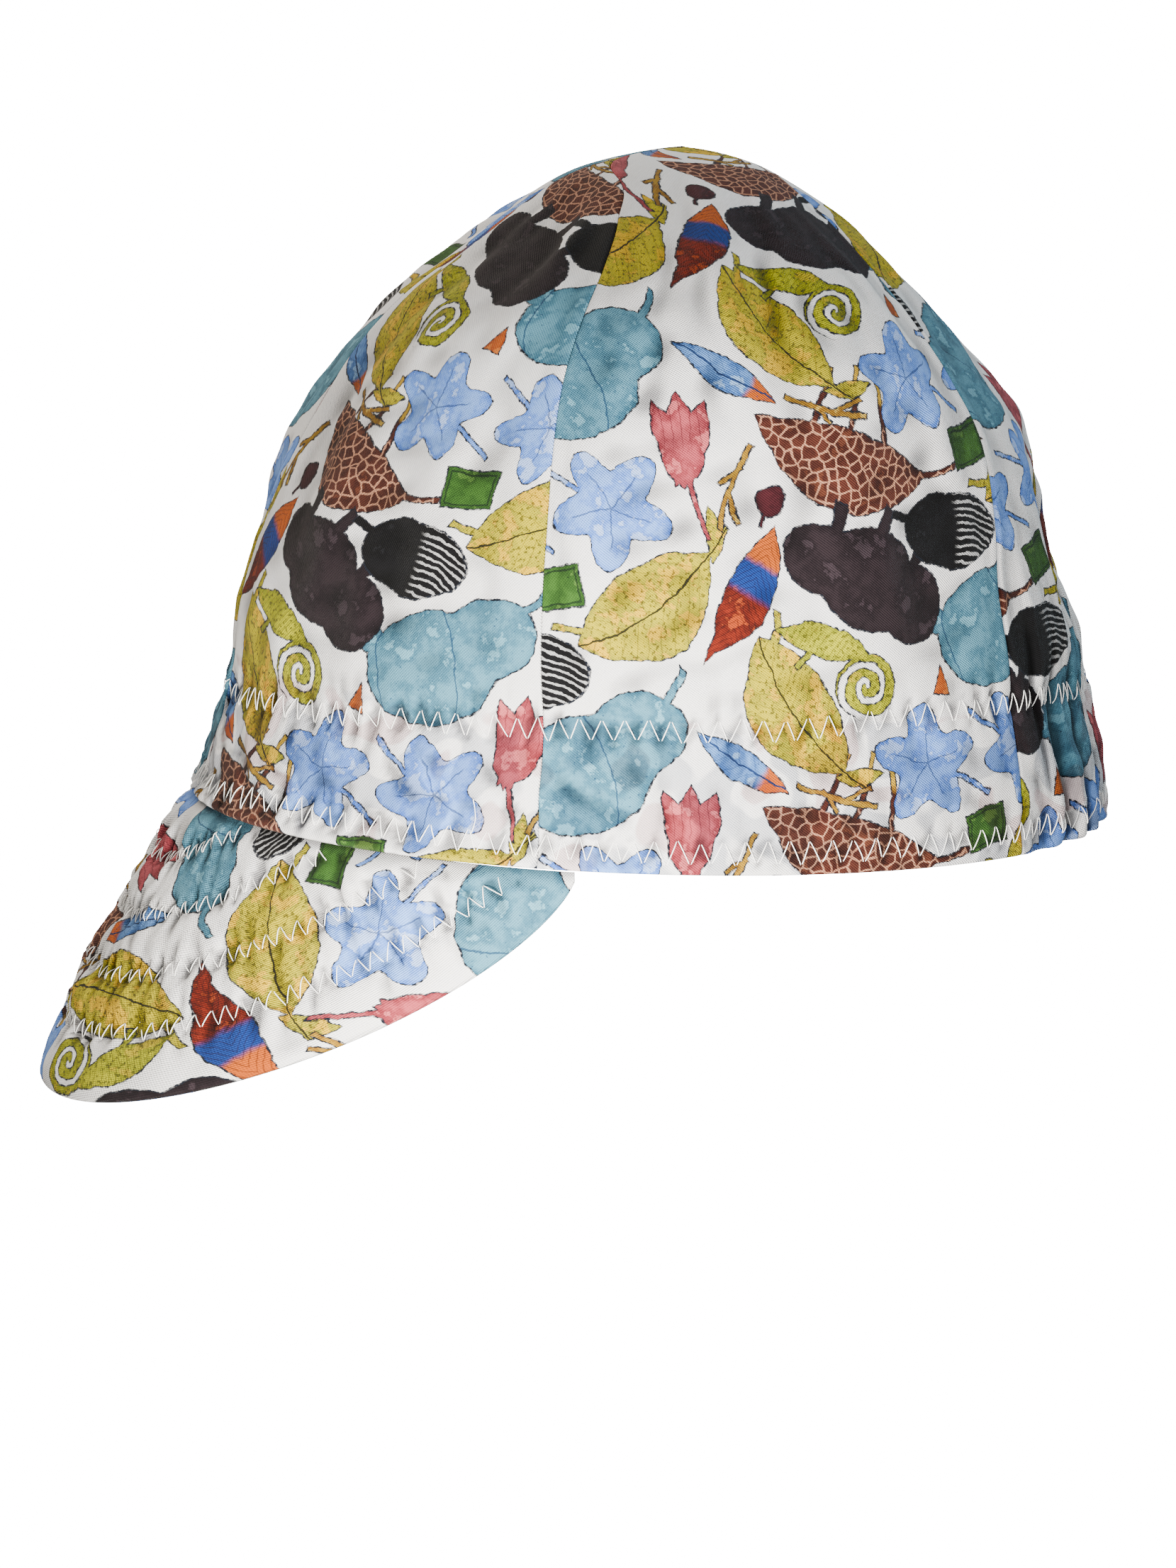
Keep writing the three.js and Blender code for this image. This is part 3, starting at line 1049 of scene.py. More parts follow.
def smooth_mesh(
    name: str,
    points: Array,
    quads: Array,
    cloth: Array | None = None,
    shares: dict[str, Array] | None = None,
) -> bpy.types.Object:
    """Smooth object from points in millimetres and quads.

    Args:
        name: Name of the piece.
        points: Points in millimetres.
        quads: Quads of point numbers.
        cloth: Place of each point on the flat cloth in millimetres, and 1 on the inner skin.
        shares: Named shares from 0 to 1 at each point, such as its painted crease shade.

    Returns:
        The object, linked to the scene.
    """
    mesh = bpy.data.meshes.new(name)
    mesh.from_pydata(points * MM, [], quads)
    mesh.validate()
    mesh.shade_smooth()
    if cloth is not None:
        layer = mesh.attributes.new(CLOTH_MAP, "FLOAT_VECTOR", "POINT")
        layer.data.foreach_set("vector", cloth.astype(np.float32).ravel())
    for share_name, share in (shares or {}).items():
        layer = mesh.attributes.new(share_name, "FLOAT", "POINT")
        layer.data.foreach_set("value", share.astype(np.float32).ravel())
    piece = bpy.data.objects.new(name, mesh)
    bpy.context.scene.collection.objects.link(piece)
    return piece


ROUNDED_STEPS = np.array([0.0, 0.04, 0.14, 0.32, 0.62])
ROUNDED_LENGTH = 1.0


def spaced(length: float, step: float, round_high: bool = True) -> Array:
    """Shares from 0 to 1 in even steps, with close ones at the rounded ends.

    Args:
        length: Length that the shares run over.
        step: Length of an even step.
        round_high: Whether the far end is rounded as the near end is.

    Returns:
        The shares.
    """
    even = np.linspace(0, length, max(3, round(length / step) + 1))
    if round_high:
        even = even[even < length - ROUNDED_LENGTH]
    parts = [ROUNDED_STEPS, even[even > ROUNDED_LENGTH]]
    if round_high:
        parts.append(length - ROUNDED_STEPS)
    return np.unique(np.concatenate(parts)) / length


def laid_flat(across: Array, up: Array, turn: float, offset: Span) -> Array:
    """Places on the printed cloth of a piece that was turned and moved before it was cut.

    Args:
        across: Places across the flat piece.
        up: Places up the flat piece.
        turn: How far it is turned, in radians.
        offset: Where its middle lies on the cloth.

    Returns:
        Places on the cloth, with 0 as third coordinate.
    """
    first = across * math.cos(turn) - up * math.sin(turn) + offset[0]
    second = across * math.sin(turn) + up * math.cos(turn) + offset[1]
    return np.stack([first, second, np.zeros_like(first)], -1)


def new_material(name: str, inputs: dict[str, Tone | float]) -> bpy.types.Material:
    """A new material whose shader has the given values, colours as tones.

    Args:
        name: Name of the material.
        inputs: Values of the shader's inputs.

    Returns:
        The material.
    """
    material = bpy.data.materials.new(name)
    material.use_nodes = True
    sockets = material.node_tree.nodes["Principled BSDF"].inputs
    for socket, value in inputs.items():
        sockets[socket].default_value = (*value, 1.0) if isinstance(value, tuple) else value
    return material


@dataclass(frozen=True)
class Value:
    """A number that nodes work out at each place of the cloth, with the usual operators."""

    sheet: "NodeSheet"
    socket: Socket

    def __add__(self, other: "Value | float") -> "Value":
        """Sum."""
        return self.sheet.math("ADD", self, other)

    def __sub__(self, other: "Value | float") -> "Value":
        """Difference."""
        return self.sheet.math("SUBTRACT", self, other)

    def __mul__(self, other: "Value | float") -> "Value":
        """Product."""
        return self.sheet.math("MULTIPLY", self, other)

    def __abs__(self) -> "Value":
        """Size without the sign."""
        return self.sheet.math("ABSOLUTE", self)

    def times_plus(self, factor: "Value | float", addend: "Value | float") -> "Value":
        """Product with a factor, plus an addend."""
        return self.sheet.math("MULTIPLY_ADD", self, factor, addend)

    def low(self, other: "Value | float") -> "Value":
        """The lesser of two."""
        return self.sheet.math("MINIMUM", self, other)

    def high(self, other: "Value | float") -> "Value":
        """The greater of two."""
        return self.sheet.math("MAXIMUM", self, other)

    def melt(self, other: "Value", reach: float) -> "Value":
        """The lesser of two, with the corner between them rounded."""
        return self.sheet.math("SMOOTH_MIN", self, other, reach)

    def wrap(self, half: float) -> "Value":
        """The value folded into the span from minus half to half."""
        return self.sheet.math("WRAP", self, half, -half)

    def step(self, start: float, end: float, low: float = 0.0, high: float = 1.0) -> "Value":
        """Smooth step from low at start to high at end."""
        node = self.sheet.node("ShaderNodeMapRange", interpolation_type="SMOOTHSTEP")
        for name, number in (("From Min", start), ("From Max", end), ("To Min", low), ("To Max", high)):
            node.inputs[name].default_value = number
        self.sheet.link(self, node.inputs["Value"])
        return Value(self.sheet, node.outputs["Result"])

    def line(self, half_width: float, soft: float = 0.1) -> "Value":
        """1 where the value is near 0, within a half width, and 0 elsewhere."""
        return abs(self).step(half_width, half_width + soft, 1.0, 0.0)


@dataclass(frozen=True)
class NodeSheet:
    """A node tree with short ways to add nodes to it."""

    tree: bpy.types.NodeTree

    def node(self, kind: str, **settings: str | bool | float) -> bpy.types.Node:
        """A new node with its settings."""
        node = self.tree.nodes.new(kind)
        for name, value in settings.items():
            setattr(node, name, value)
        return node

    def link(self, value: "Value | Socket | Tone | float", target: Socket) -> None:
        """Feeds a socket from a value, a socket, a tone or a number."""
        if isinstance(value, Value):
            self.tree.links.new(value.socket, target)
        elif isinstance(value, Socket):
            self.tree.links.new(value, target)
        elif isinstance(value, tuple):
            target.default_value = (*value, 1.0)
        else:
            target.default_value = value

    def math(self, operation: str, *values: "Value | float") -> Value:
        """A math node."""
        node = self.node("ShaderNodeMath", operation=operation)
        for i, value in enumerate(values):
            self.link(value, node.inputs[i])
        return Value(self, node.outputs[0])

    def mix(
        self, share: Value | float, first: Socket | Tone, second: Socket | Tone, blend: str = "MIX"
    ) -> Socket:
        """Colour between two others."""
        node = self.node("ShaderNodeMix", data_type="RGBA", blend_type=blend)
        self.link(share, node.inputs[0])
        self.link(first, node.inputs[6])
        self.link(second, node.inputs[7])
        return node.outputs[2]

    def noise(self, place: Socket, scale: float, detail: float = 3.0) -> bpy.types.Node:
        """A flat noise texture on places in millimetres."""
        node = self.node("ShaderNodeTexNoise", noise_dimensions="2D")
        node.inputs["Scale"].default_value = scale
        node.inputs["Detail"].default_value = detail
        node.inputs["Roughness"].default_value = 0.6
        self.link(place, node.inputs["Vector"])
        return node

    def pair(self, x: Value, y: Value) -> Socket:
        """Place from two coordinates."""
        node = self.node("ShaderNodeCombineXYZ")
        self.link(x, node.inputs[0])
        self.link(y, node.inputs[1])
        return node.outputs[0]


@dataclass(frozen=True)
class Local:
    """Places in a motif's own frame, and the two noises of its wash."""

    x: Value
    y: Value
    wash: Value
    grain: Value

    def moved(self, right: float, up: float, degrees: float = 0.0) -> "Local":
        """The same places seen from a frame that is moved and turned."""
        cosine, sine = math.cos(math.radians(degrees)), math.sin(math.radians(degrees))
        x = self.x.times_plus(cosine, -right * cosine - up * sine)
        y = self.y.times_plus(cosine, right * sine - up * cosine)
        if abs(sine) > 1e-6:
            x, y = self.y.times_plus(sine, x), self.x.times_plus(-sine, y)
        return Local(x, y, self.wash, self.grain)

    def oval(self, half_length: float, half_width: float) -> Value:
        """Distance from an oval, about in millimetres and negative inside."""
        size = min(half_length, half_width)
        across = self.y * (1 / half_width)
        along = self.x * (1 / half_length)
        square = along.times_plus(along, across * across)
        return square.sheet.math("SQRT", square).times_plus(size, -size)

    def blade(self, half_length: float, half_width: float, bend: float = 0.0) -> Value:
        """Distance from a leaf shape: width that falls with the square of the length, bent."""
        square = self.x * self.x
        across = abs(square.times_plus(-bend, self.y))
        return across - square.times_plus(-half_width / half_length**2, half_width)

    def stem(self, start: float, end: float, half_width: float, bend: float = 0.0) -> Value:
        """Distance from a thin bent stem between two lengths."""
        square = self.x * self.x
        across = abs(square.times_plus(-bend, self.y)) - half_width
        return across.high(abs(self.x - (start + end) / 2) - (end - start) / 2)

    def radius(self) -> Value:
        """Distance from the frame's middle."""
        return self.x.sheet.math("SQRT", self.x.times_plus(self.x, self.y * self.y))

    def heading(self) -> Value:
        """Angle round the frame's middle."""
        return self.x.sheet.math("ARCTAN2", self.y, self.x)


class Shape(Enum):
    """The printed shapes."""

    GOURD = "gourd"
    NET_POD = "net_pod"
    FIGS = "figs"
    LEAF = "leaf"
    LOBED_LEAF = "lobed_leaf"
    TULIP = "tulip"
    FEATHER_LEAF = "feather_leaf"
    STRIPED_SEED = "striped_seed"
    MOSS_PATCH = "moss_patch"
    FERN_CURL = "fern_curl"
    QUILL_LEAF = "quill_leaf"
    BERRY = "berry"
    TWIG = "twig"
    SLIVER = "sliver"


@dataclass(frozen=True)
class Wash:
    """Watercolour of a shape: two tones that run into each other, patches and specks.

    The tones are linear red, green and blue.

    Attributes:
        light: Tone of the thin wash.
        deep: Tone of the full wash.
        patch: Tone of the patches.
        patches: Value of the wash noise from which patches show.
        speck: Tone of the specks, veins and bands.
        specks: Value of the grain noise from which specks show.
    """

    light: Tone
    deep: Tone
    patch: Tone
    patches: float
    speck: Tone
    specks: float


WASHES = {
    Shape.GOURD: Wash(
        light=(0.085, 0.225, 0.3), deep=(0.03, 0.105, 0.16),
        patch=(0.14, 0.34, 0.43), patches=0.6, speck=(0.008, 0.03, 0.075), specks=0.68,
    ),
    Shape.NET_POD: Wash(
        light=(0.07, 0.018, 0.011), deep=(0.03, 0.007, 0.005),
        patch=(0.1, 0.028, 0.014), patches=0.6, speck=(0.42, 0.2, 0.12), specks=0.95,
    ),
    Shape.FIGS: Wash(
        light=(0.016, 0.01, 0.0125), deep=(0.0075, 0.0045, 0.006),
        patch=(0.03, 0.02, 0.025), patches=0.6, speck=(0.045, 0.032, 0.04), specks=0.76,
    ),
    Shape.LEAF: Wash(
        light=(0.4, 0.33, 0.001), deep=(0.2, 0.19, 0.014),
        patch=(0.62, 0.37, 0.0005), patches=0.52, speck=(0.02, 0.018, 0.006), specks=0.58,
    ),
    Shape.LOBED_LEAF: Wash(
        light=(0.17, 0.32, 0.72), deep=(0.045, 0.13, 0.48),
        patch=(0.34, 0.48, 0.8), patches=0.56, speck=(0.01, 0.02, 0.09), specks=0.74,
    ),
    Shape.TULIP: Wash(
        light=(0.36, 0.06, 0.075), deep=(0.17, 0.02, 0.028),
        patch=(0.5, 0.11, 0.12), patches=0.58, speck=(0.06, 0.008, 0.013), specks=0.76,
    ),
    Shape.FEATHER_LEAF: Wash(
        light=(0.15, 0.012, 0.004), deep=(0.05, 0.005, 0.003),
        patch=(0.3, 0.04, 0.006), patches=0.6, speck=(0.012, 0.003, 0.003), specks=0.7,
    ),
    Shape.STRIPED_SEED: Wash(
        light=(0.0038, 0.0036, 0.0045), deep=(0.002, 0.0018, 0.0022),
        patch=(0.008, 0.008, 0.01), patches=0.65, speck=(0.4, 0.4, 0.4), specks=0.8,
    ),
    Shape.MOSS_PATCH: Wash(
        light=(0.034, 0.1, 0.014), deep=(0.016, 0.05, 0.008),
        patch=(0.06, 0.14, 0.022), patches=0.6, speck=(0.005, 0.013, 0.006), specks=0.7,
    ),
    Shape.FERN_CURL: Wash(
        light=(0.37, 0.36, 0.001), deep=(0.2, 0.21, 0.002),
        patch=(0.42, 0.32, 0.005), patches=0.58, speck=(0.02, 0.022, 0.006), specks=0.57,
    ),
    Shape.QUILL_LEAF: Wash(
        light=(0.1, 0.22, 0.48), deep=(0.03, 0.09, 0.26),
        patch=(0.2, 0.34, 0.56), patches=0.6, speck=(0.008, 0.02, 0.07), specks=0.7,
    ),
    Shape.BERRY: Wash(
        light=(0.045, 0.007, 0.0105), deep=(0.02, 0.003, 0.005),
        patch=(0.09, 0.014, 0.02), patches=0.62, speck=(0.01, 0.0015, 0.003), specks=0.75,
    ),
    Shape.TWIG: Wash(
        light=(0.36, 0.21, 0.012), deep=(0.18, 0.085, 0.006),
        patch=(0.45, 0.3, 0.05), patches=0.6, speck=(0.04, 0.02, 0.006), specks=0.68,
    ),
    Shape.SLIVER: Wash(
        light=(0.45, 0.095, 0.006), deep=(0.28, 0.05, 0.004),
        patch=(0.5, 0.14, 0.02), patches=0.6, speck=(0.1, 0.02, 0.004), specks=0.78,
    ),
}
ROYAL_BLUE: Tone = (0.006, 0.028, 0.16)
WARM_ORANGE: Tone = (0.36, 0.07, 0.005)
BUD_YELLOW: Tone = (0.42, 0.25, 0.015)
INK: Tone = (0.006, 0.008, 0.014)
COTTON_WHITE: Tone = (0.8, 0.785, 0.775)
COTTON_SHADE: Tone = (0.77, 0.775, 0.79)
# Tone of the painted shade in the hollows of the weave.
WEAVE_SHADE: Tone = (0.25, 0.24, 0.25)
# Tone of the painted shade in creases and under the hem.
CREASE_SHADE: Tone = (0.12, 0.12, 0.13)
BLUISH_SHADOW: Tone = (0.3, 0.34, 0.42)
ROSY_SHADOW: Tone = (0.55, 0.33, 0.34)
THREAD_WHITE: Tone = (0.86, 0.85, 0.82)
FLOOR_GREY: Tone = (0.16, 0.16, 0.16)
WHITE: Tone = (1.0, 1.0, 1.0)
WARM_SKY: Tone = (1.0, 0.98, 0.94)


@dataclass(frozen=True)
class Motif:
    """One motif of the print: a generic plant shape in watercolour with a thin ink line.

    Attributes:
        shape: Which shape.
        across: Place of its middle across the repeat.
        up: Place of its middle up the repeat.
        degrees: How far it is turned.
    """

    shape: Shape
    across: float
    up: float
    degrees: float

    def outline(self, at: Local) -> Value:
        """Distance from the shape's outline in millimetres, negative inside.

        The numbers are each shape's own sizes in millimetres, and turns in degrees.

        Args:
            at: Places in the motif's frame.

        Returns:
            The distance.
        """
        match self.shape:
            case Shape.GOURD:
                body = at.oval(14.5, 11.5).melt(at.moved(13.5, 5).oval(9.8, 8), 2.5)
                body = body.low(at.moved(21, 9.5, 24).stem(-2, 7, 0.8, 0.05))
                return body.low(at.moved(-13.5, 7, 140).blade(7.5, 2.6, 0.02))
            case Shape.NET_POD:
                pod = at.blade(21, 8.2, 0.011).low(at.stem(15, 28, 0.7, 0.011))
                for right, up, degrees, length in ((-9, 7, 74, 13), (-1, 7, 84, 14.5), (8, 6.5, 102, 13)):
                    pod = pod.low(at.moved(right, up, degrees).stem(-1, length, 0.6, 0.006))
                return pod
            case Shape.FIGS:
                pair = at.oval(11.5, 10).melt(at.moved(12, 1.5, 15).oval(8.6, 8), 1.4)
                pair = pair.melt(at.moved(-11, -2.2).oval(8, 6.6), 1.2)
                for right, up, degrees in ((-12, 3.5, 100), (-3, 8.5, 88), (8, 8, 82)):
                    pair = pair.low(at.moved(right, up, degrees).stem(-1, 6, 1.35, 0.01))
                return pair
            case Shape.LEAF:
                body = at.blade(16.5, 9.2, 0.01).low(at.stem(10, 22, 0.6, 0.01))
                body = body.low(at.moved(-12, 2, 118).stem(-2, 9, 0.8, 0.03))
                return body.low(at.moved(19, 5, 62).blade(5.5, 1.9, 0.02))
            case Shape.LOBED_LEAF:
                lobes = at.x.sheet.math("COSINE", at.heading() * 5)
                body = at.radius() - lobes.times_plus(2.6, 9.8)
                return body.low(at.stem(-17.5, -7, 0.55, 0.008))
            case Shape.TULIP:
                petals = at.blade(9.5, 3.4).low(at.moved(-0.5, 1.8, 22).blade(9.2, 3.1))
                petals = petals.low(at.moved(-0.5, -1.8, -22).blade(9.2, 3.1))
                petals = petals.low(at.moved(-3, 0).oval(5, 4.4))
                return petals.low(at.stem(-19, -6, 0.55, -0.014))
            case Shape.FEATHER_LEAF:
                return at.blade(14, 4.8, 0.007).low(at.moved(-10, 1.5, 168).blade(7, 1.3, 0.01))
            case Shape.STRIPED_SEED:
                return at.oval(13, 7.6).low(at.moved(-12, 2.5, 160).stem(-2, 5, 0.9, 0.02))
            case Shape.MOSS_PATCH:
                return (abs(at.x) - 5.6).high(abs(at.y) - 4.1)
            case Shape.FERN_CURL:
                coil = at.heading().times_plus(-3.6 / (2 * math.pi), at.radius()).wrap(1.8)
                coil = (abs(coil) - 1.12).high(at.radius() - 6.8)
                coil = coil.low(at.moved(12, -5.6, 6).blade(11, 3.4, 0.008))
                return coil.low(at.moved(14, -2.5, 62).stem(-1, 4.5, 0.7, 0.02))
            case Shape.QUILL_LEAF:
                return at.blade(11, 3.2, 0.006)
            case Shape.BERRY:
                return at.oval(3.1, 2.8).low(at.stem(2.4, 5.6, 0.35, 0.03))
            case Shape.TWIG:
                main = at.stem(-9, 9, 0.6, 0.012)
                main = main.low(at.moved(2, 0.4, 36).stem(-1, 6, 0.5))
                return main.low(at.moved(-3, 0.2, -34).stem(-1, 4.5, 0.5))
            case Shape.SLIVER:
                return (at.x.times_plus(0.42, -1.1) + abs(at.y)).high(abs(at.x) - 3)

    def marks(self, at: Local) -> Value | None:
        """Share of the specks' tone that veins, nets and stripes of the shape take.

        Args:
            at: Places in the motif's frame.

        Returns:
            The share, or nothing where the shape has no such marks.
        """
        sheet = at.x.sheet
        match self.shape:
            case Shape.NET_POD:
                net = sheet.node(
                    "ShaderNodeTexVoronoi", voronoi_dimensions="2D", feature="DISTANCE_TO_EDGE"
                )
                net.inputs["Scale"].default_value = 0.42
                sheet.link(sheet.pair(at.x, at.y), net.inputs["Vector"])
                net_line = Value(sheet, net.outputs["Distance"]).step(0.045, 0.11, 0.9, 0.0)
                return net_line * at.y.step(9.5, 11, 1.0, 0.0)
            case Shape.LEAF | Shape.QUILL_LEAF:
                rib = (at.x * at.x).times_plus(-0.01, at.y)
                veins = (at.x + abs(rib) * 0.9).wrap(1.6)
                return rib.line(0.14).high(veins.line(0.08) * 0.45)
            case Shape.LOBED_LEAF:
                veins = (at.heading() * 5).wrap(math.pi) * at.radius() * 0.2
                return veins.line(0.1) * at.radius().step(7.2, 8.6, 0.7, 0.0)
            case Shape.TULIP:
                return (at.y * 1.0).wrap(0.9).line(0.06) * at.x.step(-4, 2, 0.0, 0.6)
            case Shape.FEATHER_LEAF:
                return (at.x + abs(at.y) * 1.2).wrap(0.8).line(0.12) * 0.5
            case Shape.STRIPED_SEED:
                stripes = (at.x * at.x).times_plus(0.02, at.y).wrap(0.75).line(0.2)
                return stripes * at.x.step(1.0, 3.0, 0.0, 0.85)
            case Shape.GOURD:
                return (at.moved(-3, 0).oval(9, 17)).line(0.11) * 0.8
            case Shape.MOSS_PATCH:
                return (abs(at.x) - 4.7).high(abs(at.y) - 3.2).line(0.14) * 0.8
            case Shape.FERN_CURL:
                return at.heading().times_plus(2.4, at.radius() * 1.4).wrap(0.9).line(0.12) * 0.4
        return None

    def paint(self, at: Local, under: Socket) -> Socket:
        """Lays the motif over what is printed under it.

        The wash runs from its light to its deep tone with the wash noise and pools at the rim,
        patches and specks come from the noises, and the ink follows the outline unevenly.

        Args:
            at: Places in the motif's frame.
            under: Colour under it.

        Returns:
            Colour with the motif.
        """
        sheet = at.x.sheet
        wash = WASHES[self.shape]
        away = self.outline(at)
        tone = at.wash.step(0.38, 0.6) * 0.75 + away.step(-1.6, 0.1, 0.0, 0.45)
        colour = sheet.mix(tone.low(1.0), wash.light, wash.deep)
        patches = at.wash.step(wash.patches, wash.patches + 0.06, 0.0, 0.85)
        colour = sheet.mix(patches, colour, wash.patch)
        if self.shape is Shape.FEATHER_LEAF:
            colour = sheet.mix(at.x.step(-1.5, 0.5), colour, ROYAL_BLUE)
            colour = sheet.mix(at.x.step(5.0, 6.5), colour, WARM_ORANGE)
        if self.shape is Shape.NET_POD:
            colour = sheet.mix(at.y.step(14.5, 16.5), colour, BUD_YELLOW)
        if self.shape is Shape.QUILL_LEAF:
            colour = sheet.mix(at.x.step(4.0, 5.5), colour, WARM_ORANGE)
        specks = at.grain.step(wash.specks, wash.specks + 0.05, 0.0, 0.75)
        drawn = self.marks(at)
        colour = sheet.mix(specks if drawn is None else specks.high(drawn), colour, wash.speck)
        colour = sheet.mix(away.step(-0.14, 0.1, 1.0, 0.0), under, colour)
        line = away.line(0.12, 0.11) * at.grain.step(0.3, 0.56, 0.4, 1.0)
        return sheet.mix(line, colour, INK)


# The print is enlarged by its scale, with each motif a little smaller round its own middle. A
# repeat is as wide and high as this, and each next column of repeats lies lower by the drop.
PRINT_SCALE = 1.12
MOTIF_SHRINK = 0.91
PRINT_WIDTH = 84.0
PRINT_HEIGHT = 70.0
PRINT_DROP = 26.0
PRINT = (
    Motif(Shape.NET_POD, 8.2, 2.8, 343),
    Motif(Shape.GOURD, 42.8, 43.1, 18),
    Motif(Shape.FIGS, 12.9, 53.3, 327),
    Motif(Shape.LEAF, 81.4, 55.5, 302),
    Motif(Shape.LEAF, 56.8, 3.1, 37),
    Motif(Shape.LOBED_LEAF, 24.6, 19.1, 164),
    Motif(Shape.LOBED_LEAF, 49.5, 21.1, 341),
    Motif(Shape.TULIP, 62.2, 33.7, 90),
    Motif(Shape.FEATHER_LEAF, 74.4, 7.1, 64),
    Motif(Shape.STRIPED_SEED, 33.2, 61.4, 359),
    Motif(Shape.MOSS_PATCH, 39.5, 6.4, 191),
    Motif(Shape.FERN_CURL, 12.4, 33.7, 158),
    Motif(Shape.QUILL_LEAF, 71.5, 45.8, 326),
    Motif(Shape.BERRY, 78.1, 23.5, 236),
    Motif(Shape.TWIG, 5.7, 13.5, 345),
    Motif(Shape.TWIG, 70.8, 26.1, 250),
    Motif(Shape.SLIVER, 29.4, 34.5, 86),
)


# Waves a millimetre of the cloth's noises: how far lines wander, the watercolour's wash and grain,
# the fibres, and the print of the folded-in hem.
WANDER_SCALE = 0.17
WASH_SCALE = 0.21
GRAIN_SCALE = 1.3
FIBRE_SCALE = 3.1
FOLD_SCALE = 0.085

# Slopes of the twill's ribs and of the threads across them, and those threads' share of its pitch.
RIB_SLOPE = 1.35
PICK_SLOPE = 0.7
PICK_PITCH = 0.8


@dataclass(frozen=True)
class PrintedCotton:
    """White cotton twill with a generic print of watercolour plant shapes.

    Attributes:
        name: Name of the material.
        motifs: Motifs of one repeat.
        wobble: How far the drawing wanders from its shapes.
        rib: Pitch of the twill.
        weave_shade: How much darker the painted shade makes the bottom of the weave.
        bump: Strength and height in metres of the weave as bump.
        lining_fade: How far the print fades on the wrong side.
        crease_shade: How much darker the painted shade makes the bottom of a crease.
        show_through: How strongly the print of the folded-in hem shows through.
    """

    name: str = "printed_cotton"
    motifs: tuple[Motif, ...] = PRINT
    wobble: float = 2.0
    rib: float = 0.62
    weave_shade: float = 0.32
    bump: Span = (0.6, 0.0002)
    lining_fade: float = 0.72
    crease_shade: float = 0.8
    show_through: float = 0.55

    def motif_group(self, number: int, motif: Motif) -> bpy.types.NodeTree:
        """Node group that repeats one motif over the cloth, each column a drop lower.

        Args:
            number: Number of the motif.
            motif: The motif.

        Returns:
            The group.
        """
        tree = bpy.data.node_groups.new(f"print_{motif.shape.value}_{number}", "ShaderNodeTree")
        inputs = {"Under": "Color", "Place": "Vector", "Wash": "Float", "Grain": "Float"}
        for name, kind in inputs.items():
            tree.interface.new_socket(name, in_out="INPUT", socket_type=f"NodeSocket{kind}")
        tree.interface.new_socket("Printed", in_out="OUTPUT", socket_type="NodeSocketColor")
        sheet = NodeSheet(tree)
        given = sheet.node("NodeGroupInput")
        parts = sheet.node("ShaderNodeSeparateXYZ")
        sheet.link(given.outputs["Place"], parts.inputs[0])
        across = Value(sheet, parts.outputs[0]) - motif.across
        column = sheet.math("ROUND", across * (1 / PRINT_WIDTH))
        x = column.times_plus(-PRINT_WIDTH, across)
        y = column.times_plus(-PRINT_DROP, Value(sheet, parts.outputs[1]) - motif.up)
        y = y.wrap(PRINT_HEIGHT / 2)
        wash, grain = (Value(sheet, given.outputs[name]) for name in ("Wash", "Grain"))
        at = Local(x * (1 / MOTIF_SHRINK), y * (1 / MOTIF_SHRINK), wash, grain)
        at = at.moved(0, 0, motif.degrees)
        result = sheet.node("NodeGroupOutput")
        sheet.link(motif.paint(at, given.outputs["Under"]), result.inputs["Printed"])
        return tree

    def wandering(self, sheet: NodeSheet, flat: Socket) -> Socket:
        """Places that wander off the flat ones by a slow noise, so that no line is exact.

        Args:
            sheet: The material's nodes.
            flat: Places on the flat cloth.

        Returns:
            The places that the print is drawn at.
        """
        wander = sheet.noise(flat, WANDER_SCALE, 4.0)
        shift = sheet.node("ShaderNodeVectorMath", operation="SUBTRACT")
        sheet.link(wander.outputs["Color"], shift.inputs[0])
        shift.inputs[1].default_value = (0.5, 0.5, 0.5)
        place = sheet.node("ShaderNodeVectorMath", operation="MULTIPLY_ADD")
        sheet.link(shift.outputs[0], place.inputs[0])
        place.inputs[1].default_value = (self.wobble, self.wobble, 0)
        sheet.link(flat, place.inputs[2])
        return place.outputs[0]

    def printed(self, sheet: NodeSheet, flat: Socket) -> Socket:
        """Colour of white cotton with every motif laid over it in turn.

        Args:
            sheet: The material's nodes.
            flat: Places on the flat cloth.

        Returns:
            The colour.
        """
        wash = sheet.noise(flat, WASH_SCALE, 5.0).outputs[0]
        grain = sheet.noise(flat, GRAIN_SCALE, 3.0).outputs[0]
        colour = sheet.mix(Value(sheet, wash).step(0.3, 0.7, 0.0, 0.35), COTTON_WHITE, COTTON_SHADE)
        given = {"Place": self.wandering(sheet, flat), "Wash": wash, "Grain": grain}
        for number, motif in enumerate(self.motifs):
            group = sheet.node("ShaderNodeGroup")
            group.node_tree = self.motif_group(number, motif)
            for name, source in given.items():
                sheet.link(source, group.inputs[name])
            sheet.link(colour, group.inputs["Under"])
            colour = group.outputs["Printed"]
        return colour

    def shaded(self, sheet: NodeSheet, flat: Socket, colour: Socket) -> Socket:
        """Colour with the folded-in hem showing through and with painted shade in the creases.

        Args:
            sheet: The material's nodes.
            flat: Places on the flat cloth.
            colour: Colour of the cloth.

        Returns:
            The colour.
        """
        fold, crease = (
            Value(sheet, sheet.node("ShaderNodeAttribute", attribute_name=name).outputs["Fac"])
            for name in (FOLD_MAP, PAINTED_SHADE_MAP)
        )
        behind = Value(sheet, sheet.noise(flat, FOLD_SCALE, 1.0).outputs[0])
        bluish = behind.step(0.5, 0.56, 0.0, self.show_through) * fold
        colour = sheet.mix(bluish, colour, BLUISH_SHADOW, "MULTIPLY")
        rosy = behind.step(0.4, 0.35, 0.0, self.show_through) * fold
        colour = sheet.mix(rosy, colour, ROSY_SHADOW, "MULTIPLY")
        # Painted shade: the crease share darkens the colour towards the crease tone.
        return sheet.mix(crease.low(1.0) * self.crease_shade, colour, CREASE_SHADE, "MULTIPLY")

